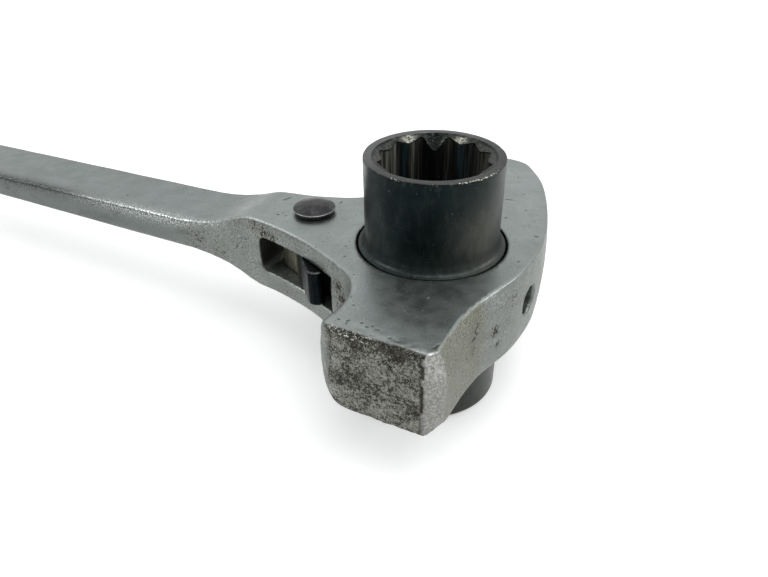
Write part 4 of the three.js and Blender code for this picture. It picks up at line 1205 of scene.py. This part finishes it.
def oxide_material():
    """Black oxide on steel: blue-black, hazy in patches that are partly painted light on the barrel's sides, with
    painted light and shade in the bore, rubbed to grey along the rims and in specks.
    """
    s = Nodes("black_oxide_worn")
    edge, bore, glint, chip, painted_bore_shading, blue = (s.attr(a) for a in ("edge", "bore", "glint", "chip", "painted_bore_shading", "blue"))
    local = s.vadd(s.mm, tuple(-OFF))
    x, y, z = s.xyz(local)
    big = s.noise(8.0, 3, 0.55)
    mid = s.noise(1.9, 4, 0.62)
    fine = s.noise(0.35, 3, 0.6)
    streak = s.noise(1.1, 4, 0.62, stretch=(1.0, 1.0, 0.30))
    col = s.mix(s.ramp(big, 0.35, 0.68), (0.0028, 0.0066, 0.0072), (0.0070, 0.0122, 0.0126))
    col = s.mix(s.mul(s.ramp(streak, 0.50, 0.74), 0.35), col, (0.022, 0.027, 0.027))

    def haze_and_painted_light(px_, py_, pz_, radius, low=0.2):
        """A patch about a place on the barrel, broken up by noise: partly haze, partly painted light."""
        d = [s.math("DIVIDE", s.add(v, -c), r) for v, c, r in zip((x, y, z), (px_, py_, pz_), radius)]
        r2 = s.add(s.add(s.mul(d[0], d[0]), s.mul(d[1], d[1])), s.mul(d[2], d[2]))
        g = s.math("EXPONENT", s.mul(r2, -1.0))
        return s.mul(g, s.ramp(streak, 0.36, 0.62, low, 1.0))

    # haze patches; those at the lower right, the right and the left limb are partly painted light
    h1 = haze_and_painted_light(12.6, -4.2, 4.5, (6.5, 6.5, 7.5), 0.72)        # lower right
    h2 = haze_and_painted_light(-10.5, -8.6, 4.6, (4.0, 4.0, 3.4), 0.0)        # lower left
    h3 = haze_and_painted_light(13.3, 1.5, 11.0, (6.0, 7.0, 8.0), 0.70)        # right
    h4 = haze_and_painted_light(-13.0, -3.0, 9.0, (4.0, 6.0, 9.0), 0.3)        # left limb
    foot = s.mul(s.ramp(z, 6.5, 0.5), s.ramp(z, -6.0, -4.0))
    col = s.mix(s.mul(foot, s.ramp(streak, 0.3, 0.6, 0.45, 0.8)), col, (0.033, 0.043, 0.042))
    col = s.mix(s.mul(h1, 0.85), col, (0.083, 0.083, 0.071))
    col = s.mix(s.mul(h3, 0.60), col, (0.050, 0.057, 0.052))
    col = s.mix(s.mul(h2, 0.70), col, (0.105, 0.110, 0.104))
    col = s.mix(s.mul(h4, 0.55), col, (0.032, 0.038, 0.038))
    low = s.ramp(z, -18.0, -19.0)
    col = s.mix(s.mul(low, s.ramp(mid, 0.3, 0.7, 0.4, 0.9)), col, (0.062, 0.064, 0.058))
    # broaching lines in the points: olive, black and blue, over painted light and shade set by direction
    boring = s.ramp(bore, 0.8, 1.0)
    lines = s.noise(0.55, 3, 0.65, stretch=(1.0, 1.0, 0.03))
    lines_b = s.noise(1.5, 2, 0.5, vec=s.vmul(s.vadd(s.mm, (7, 3, 1)), (1.0, 1.0, 0.05)))
    inner = s.mix(s.mul(painted_bore_shading, s.ramp(lines, 0.44, 0.60, 0.18, 1.0)), (0.0030, 0.0036, 0.0038), (0.32, 0.33, 0.28))
    inner = s.mix(s.mul(blue, s.ramp(lines, 0.46, 0.56)), inner, (0.020, 0.046, 0.062))
    inner = s.mix(s.mul(s.ramp(lines_b, 0.44, 0.36), 0.7), inner, (0.006, 0.007, 0.007))
    col = s.mix(boring, col, inner)
    # the lead-in cone is painted darker where the bore's painted shade is deep
    lead = s.mul(s.ramp(bore, 0.45, 0.6), s.ramp(bore, 0.95, 0.7))
    lead_c = s.mix(s.ramp(s.noise(0.7, 4, 0.7), 0.42, 0.62), (0.020, 0.023, 0.022), (0.068, 0.070, 0.062))
    col = s.mix(lead, col, s.mix(s.ramp(painted_bore_shading, 0.0, 0.25), s.mix(s.ramp(fine, 0.4, 0.65), (0.008, 0.009, 0.009), (0.034, 0.036, 0.035)), lead_c))
    bright = s.mul(glint, s.ramp(s.noise(0.5, 4, 0.75, vec=s.vadd(s.mm, (1, 2, 3))), 0.40, 0.58))
    col = s.mix(bright, col, (0.55, 0.55, 0.47))
    rim = s.mul(s.mul(s.ramp(bore, 0.1, 0.28), s.ramp(bore, 0.5, 0.35)), s.ramp(z, 17.90, 18.06))
    rim_c = s.mix(s.ramp(s.add(x, s.mul(y, -0.6)), 2.0, -8.0), (0.060, 0.061, 0.058), (0.128, 0.128, 0.124))
    col = s.mix(s.mul(rim, s.ramp(mid, 0.3, 0.7, 0.60, 0.90)), col, rim_c)
    wear = s.mul(s.mul(edge, s.ramp(s.noise(0.9, 5, 0.75, vec=s.vadd(s.mm, (2, 4, 6))), 0.52, 0.68)), s.ramp(bore, 0.02, 0.1))
    col = s.mix(s.mul(wear, 0.45), col, (0.24, 0.24, 0.21))
    chips = s.ramp(s.math("MULTIPLY_ADD", chip, 0.27, s.noise(0.38, 4, 0.72, vec=s.vadd(s.mm, (5, 1, 6)))), 0.68, 0.75)
    col = s.mix(chips, col, (0.50, 0.495, 0.45))
    # scattered specks and little arcs where the oxide has been scratched through
    sp_a = s.ramp(s.noise(0.42, 3, 0.62, vec=s.vadd(s.mm, (9, 2, 8))), 0.655, 0.70)
    where = s.ramp(s.noise(2.6, 3, 0.6, vec=s.vadd(s.mm, (4, 2, 6))), 0.50, 0.60)
    arc = s.math("ABSOLUTE", s.add(s.noise(1.4, 2, 0.5, vec=s.vadd(s.mm, (1, 9, 5))), -0.5))
    arcs = s.mul(s.mul(s.ramp(arc, 0.012, 0.004), s.ramp(s.noise(1.7, 2, 0.5, vec=s.vadd(s.mm, (7, 7, 5))), 0.60, 0.66)), 0.6)
    specks = s.mul(s.mul(s.math("MAXIMUM", s.mul(sp_a, where), arcs), s.inv(boring)), s.ramp(z, 0.6, 2.0))
    col = s.mix(s.mul(specks, 0.18), col, (0.105, 0.112, 0.098))
    rough = s.ramp(mid, 0.3, 0.7, 0.30, 0.42)
    rough = s.mixf(s.math("MAXIMUM", s.math("MAXIMUM", wear, specks), s.math("MAXIMUM", chips, bright)), rough, 0.32)
    rough = s.mixf(s.math("MAXIMUM", h1, h3), rough, 0.5)
    h = s.add(s.mul(fine, 0.6), s.mul(streak, 0.5))
    h = s.add(h, s.mul(boring, s.mul(lines, 1.2)))
    n = s.bump(h, 0.018, 0.6)
    n = s.bump(s.mul(s.math("MAXIMUM", edge, lead), s.noise(0.6, 3, 0.7)), 0.10, 0.6, n)
    s.bsdf.inputs["Specular IOR Level"].default_value = 0.25
    return s.set(color=col, rough=rough, metal=s.mixf(boring, 0.92, 0.45), normal=n)


def pawl_material():
    """Oiled black steel; the flat behind the lever is painted a tan grey as painted light."""
    s = Nodes("dark_steel_pawl")
    edge = s.attr("edge")
    local = s.vadd(s.mm, tuple(-OFF))
    x, y, z = s.xyz(local)
    mid = s.noise(1.7, 4, 0.62)
    fine = s.noise(0.3, 3, 0.6)
    streak = s.noise(0.9, 4, 0.62, stretch=(1.0, 1.0, 0.2))
    col = s.mix(s.ramp(mid, 0.38, 0.66), (0.0020, 0.0036, 0.0044), (0.0048, 0.0068, 0.0080))
    geo = s.nt.nodes.new("ShaderNodeNewGeometry")
    nx, ny, nz = s.xyz(geo.outputs["Normal"])
    upright = s.ramp(s.math("ABSOLUTE", nz), 0.7, 0.3)
    # everything upright between the rear flat and the lever's root is painted tan grey: painted light
    painted_light_patch = s.mul(s.ramp(s.math("ABSOLUTE", y), 9.6, 8.4), s.ramp(x, -26.0, -27.5))
    col = s.mix(s.mul(upright, painted_light_patch), col, s.mix(s.ramp(streak, 0.36, 0.62), (0.135, 0.132, 0.100), (0.185, 0.182, 0.140)))
    col = s.mix(s.mul(s.mul(upright, s.inv(painted_light_patch)), s.ramp(streak, 0.52, 0.70)), col, (0.009, 0.012, 0.014))
    # the rounded top edges are painted lighter: partly rub, partly a painted highlight
    wear = s.mul(s.mul(edge, s.ramp(z, -4.9, -4.5)), s.ramp(s.noise(0.8, 4, 0.7), 0.32, 0.6))
    col = s.mix(s.mul(wear, 0.75), col, (0.17, 0.175, 0.17))
    rough = s.ramp(fine, 0.35, 0.65, 0.34, 0.50)
    n = s.bump(s.add(s.mul(fine, 0.8), mid), 0.02, 0.6)
    s.bsdf.inputs["Specular IOR Level"].default_value = 0.2
    return s.set(color=col, rough=rough, metal=0.9, normal=n)


def pin_material():
    """Riveted pin: a dark, slightly purple head with faint turned rings, a lighter rim, and its side wall below the rim
    painted darker as shade.
    """
    s = Nodes("pin_steel_rivet")
    local = s.vadd(s.mm, tuple(-(OFF + np.array([PIVOT_X, 0, 0]))))
    x, y, z = s.xyz(local)
    r = s.math("SQRT", s.add(s.mul(x, x), s.mul(y, y)))
    comb = s.nt.nodes.new("ShaderNodeCombineXYZ")
    s.put(comb.inputs[0], s.mul(r, 2.4))
    s.put(comb.inputs[1], s.mul(s.math("ARCTAN2", y, x), 0.5))
    rings = s.noise(1.0, 4, 0.65, vec=comb.outputs[0])
    mid = s.noise(1.5, 4, 0.62)
    blot = s.noise(3.2, 2, 0.5, vec=s.vadd(s.mm, (1, 5, 2)))
    fine = s.noise(0.25, 2, 0.5)
    col = s.mix(s.ramp(mid, 0.35, 0.65), (0.040, 0.039, 0.042), (0.072, 0.071, 0.073))
    col = s.mix(s.mul(s.ramp(blot, 0.42, 0.62), 0.6), col, (0.026, 0.024, 0.029))
    col = s.mix(s.mul(s.ramp(rings, 0.52, 0.70), 0.45), col, (0.105, 0.107, 0.106))
    # the head's side wall below the rim is painted darker: painted shade
    painted_side_shade = s.ramp(z, 0.95, 0.80)
    col = s.mix(painted_side_shade, col, (0.035, 0.038, 0.036))
    rim = s.mul(s.mul(s.ramp(r, 4.52, 4.62), s.ramp(z, 0.86, 0.94)), s.ramp(z, 1.24, 1.14))
    col = s.mix(s.mul(rim, s.ramp(s.noise(0.9, 4, 0.7), 0.30, 0.50, 0.20, 0.9)), col, (0.27, 0.285, 0.28))
    rough = s.ramp(rings, 0.35, 0.65, 0.34, 0.48)
    n = s.bump(s.add(s.mul(rings, 0.8), s.mul(fine, 0.5)), 0.02, 0.7)
    n = s.bump(mid, 0.08, 0.5, n)
    return s.set(color=col, rough=rough, metal=0.95, normal=n)


def spring_material(name, base, light):
    s = Nodes(name)
    mid = s.noise(1.4, 4, 0.6)
    fine = s.noise(0.2, 3, 0.6)
    col = s.mix(s.ramp(mid, 0.35, 0.68), base, light)
    col = s.mix(s.mul(s.ramp(s.noise(0.8, 3, 0.6), 0.58, 0.70), 0.6), col, (0.06, 0.05, 0.035))
    rough = s.ramp(fine, 0.35, 0.65, 0.26, 0.42)
    n = s.bump(s.add(fine, s.mul(mid, 0.6)), 0.012, 0.6)
    return s.set(color=col, rough=rough, metal=1.0, normal=n)


def give(o, m):
    o.data.materials.clear()
    o.data.materials.append(m)


m_plate, m_oxide, m_pawl, m_pin = plate_material(), oxide_material(), pawl_material(), pin_material()
m_spring = spring_material("spring_steel_oiled", (0.20, 0.20, 0.20), (0.34, 0.34, 0.33))
m_plunger = spring_material("dark_steel_turned", (0.10, 0.10, 0.105), (0.22, 0.22, 0.22))
for o, m in ((body, m_plate), (socket, m_oxide), (pawl, m_pawl), (pin, m_pin), (washer, m_spring), (circlip, m_spring),
             (spring, m_spring), (plunger, m_plunger)):
    give(o, m)

# the body's flat top, away from its edges, takes the second plating material
body.data.materials.append(plate_material(True))
_me = body.data
_loop = np.empty(len(_me.loops), np.int32)
_me.loops.foreach_get("vertex_index", _loop)
_start = np.empty(len(_me.polygons), np.int32)
_me.polygons.foreach_get("loop_start", _start)
_edge = np.empty(len(_me.vertices), np.float32)
_bad = np.zeros(len(_me.vertices), np.float32)
for _name in ("edge", "inner", "poll", "facet", "flank", "side", "spots"):
    _me.attributes[_name].data.foreach_get("value", _edge)
    _bad = np.maximum(_bad, _edge - (0.02 if _name == "edge" else 0.001))
_flat = np.minimum.reduceat((_bad[_loop] <= 0).astype(np.int8), _start)
_nz = np.empty(len(_me.polygons) * 3, np.float32)
_me.polygons.foreach_get("normal", _nz)
_top = (_flat > 0) & (_nz.reshape(-1, 3)[:, 2] > 0.9)
_me.polygons.foreach_set("material_index", _top.astype(np.int32))
print("top faces", int(_top.sum()), "of", len(_top))

for o, node, body_name, slot in ((body, "wrench_body", "body", "satin_plate"), (socket, "ratchet_socket", "socket", "black_oxide"),
                                 (pawl, "reversing_pawl", "pawl", "dark_steel"), (pin, "pawl_pin", "body", "pin_steel"),
                                 (washer, "thrust_washer", "body", "spring_steel"), (circlip, "retaining_ring", "body", "spring_steel"),
                                 (spring, "detent_spring", "body", "spring_steel"), (plunger, "detent_plunger", "plunger", "dark_steel")):
    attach(o, body_name)
    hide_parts(node)
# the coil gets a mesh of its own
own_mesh(spring)


# ---------------------------------------------------------------------------------------------
# Floor and light
# ---------------------------------------------------------------------------------------------
def make_floor():
    me = bpy.data.meshes.new("floor")
    s = 3.0
    me.from_pydata([(-s, -s, -0.0002), (s, -s, -0.0002), (s, s, -0.0002), (-s, s, -0.0002)], [], [(0, 1, 2, 3)])
    o = bpy.data.objects.new("floor", me)
    scene.collection.objects.link(o)
    s_ = Nodes("floor_paper")
    n = s_.noise(40.0, 3, 0.5)
    s_.set(color=s_.mix(n, (0.86, 0.86, 0.86), (0.88, 0.88, 0.88)), rough=0.75, metal=0.0)
    s_.bsdf.inputs["Specular IOR Level"].default_value = 0.1
    s_.bsdf.inputs["Emission Color"].default_value = (1, 1, 1, 1)
    s_.bsdf.inputs["Emission Strength"].default_value = 0.24
    give(o, s_.m)
    return o


floor = make_floor()


def area(name, loc, target, size, power, color=(1, 1, 1)):
    l = bpy.data.lights.new(name, "AREA")
    l.shape = "RECTANGLE"
    l.size, l.size_y = size
    l.energy = power
    l.color = color
    o = bpy.data.objects.new(name, l)
    scene.collection.objects.link(o)
    o.location = loc
    d = Vector(target) - Vector(loc)
    o.rotation_euler = d.to_track_quat("-Z", "Y").to_euler()
    return o


HEAD = rowv(0, -5, 0)
def place(azimuth, elevation, distance):
    a, e = math.radians(azimuth), math.radians(elevation)
    return HEAD + distance * Vector((math.cos(a) * math.cos(e), math.sin(a) * math.cos(e), math.sin(e)))


area("key_overhead", place(-20, 72, 0.9), HEAD, (0.7, 0.6), 3.4)
area("edge_left", place(-150, 40, 0.8), rowv(-40, -5, -5), (0.30, 0.22), 1.3)
area("edge_right", place(32, 28, 0.8), rowv(15, -15, -3), (0.22, 0.22), 1.2)

world = bpy.data.worlds.new("soft_studio")
scene.world = world
world.use_nodes = True
wt = world.node_tree
wt.nodes.clear()
w_out = wt.nodes.new("ShaderNodeOutputWorld")
w_bg = wt.nodes.new("ShaderNodeBackground")
wt.links.new(w_bg.outputs[0], w_out.inputs[0])
w_tc = wt.nodes.new("ShaderNodeTexCoord")
w_sep = wt.nodes.new("ShaderNodeSeparateXYZ")
wt.links.new(w_tc.outputs["Generated"], w_sep.inputs[0])


def w_range(value, lo, hi, a, b):
    n = wt.nodes.new("ShaderNodeMapRange")
    n.interpolation_type = "SMOOTHSTEP"
    wt.links.new(value, n.inputs["Value"])
    for k, v in (("From Min", lo), ("From Max", hi), ("To Min", a), ("To Max", b)):
        n.inputs[k].default_value = v
    return n.outputs["Result"]


w_y = w_range(w_sep.outputs[1], -0.9, 0.4, 0.55, 1.0)
w_z = w_range(w_sep.outputs[2], -0.05, 0.50, 0.62, 1.0)
w_m = wt.nodes.new("ShaderNodeMath")
w_m.operation = "MULTIPLY"
wt.links.new(w_y, w_m.inputs[0])
wt.links.new(w_z, w_m.inputs[1])
wt.links.new(w_m.outputs[0], w_bg.inputs["Strength"])
w_bg.inputs["Color"].default_value = (0.985, 1.0, 0.995, 1)

scene.view_settings.view_transform = "Standard"
scene.view_settings.look = "None"
scene.view_settings.exposure = 0.0
scene.view_settings.gamma = 1.0

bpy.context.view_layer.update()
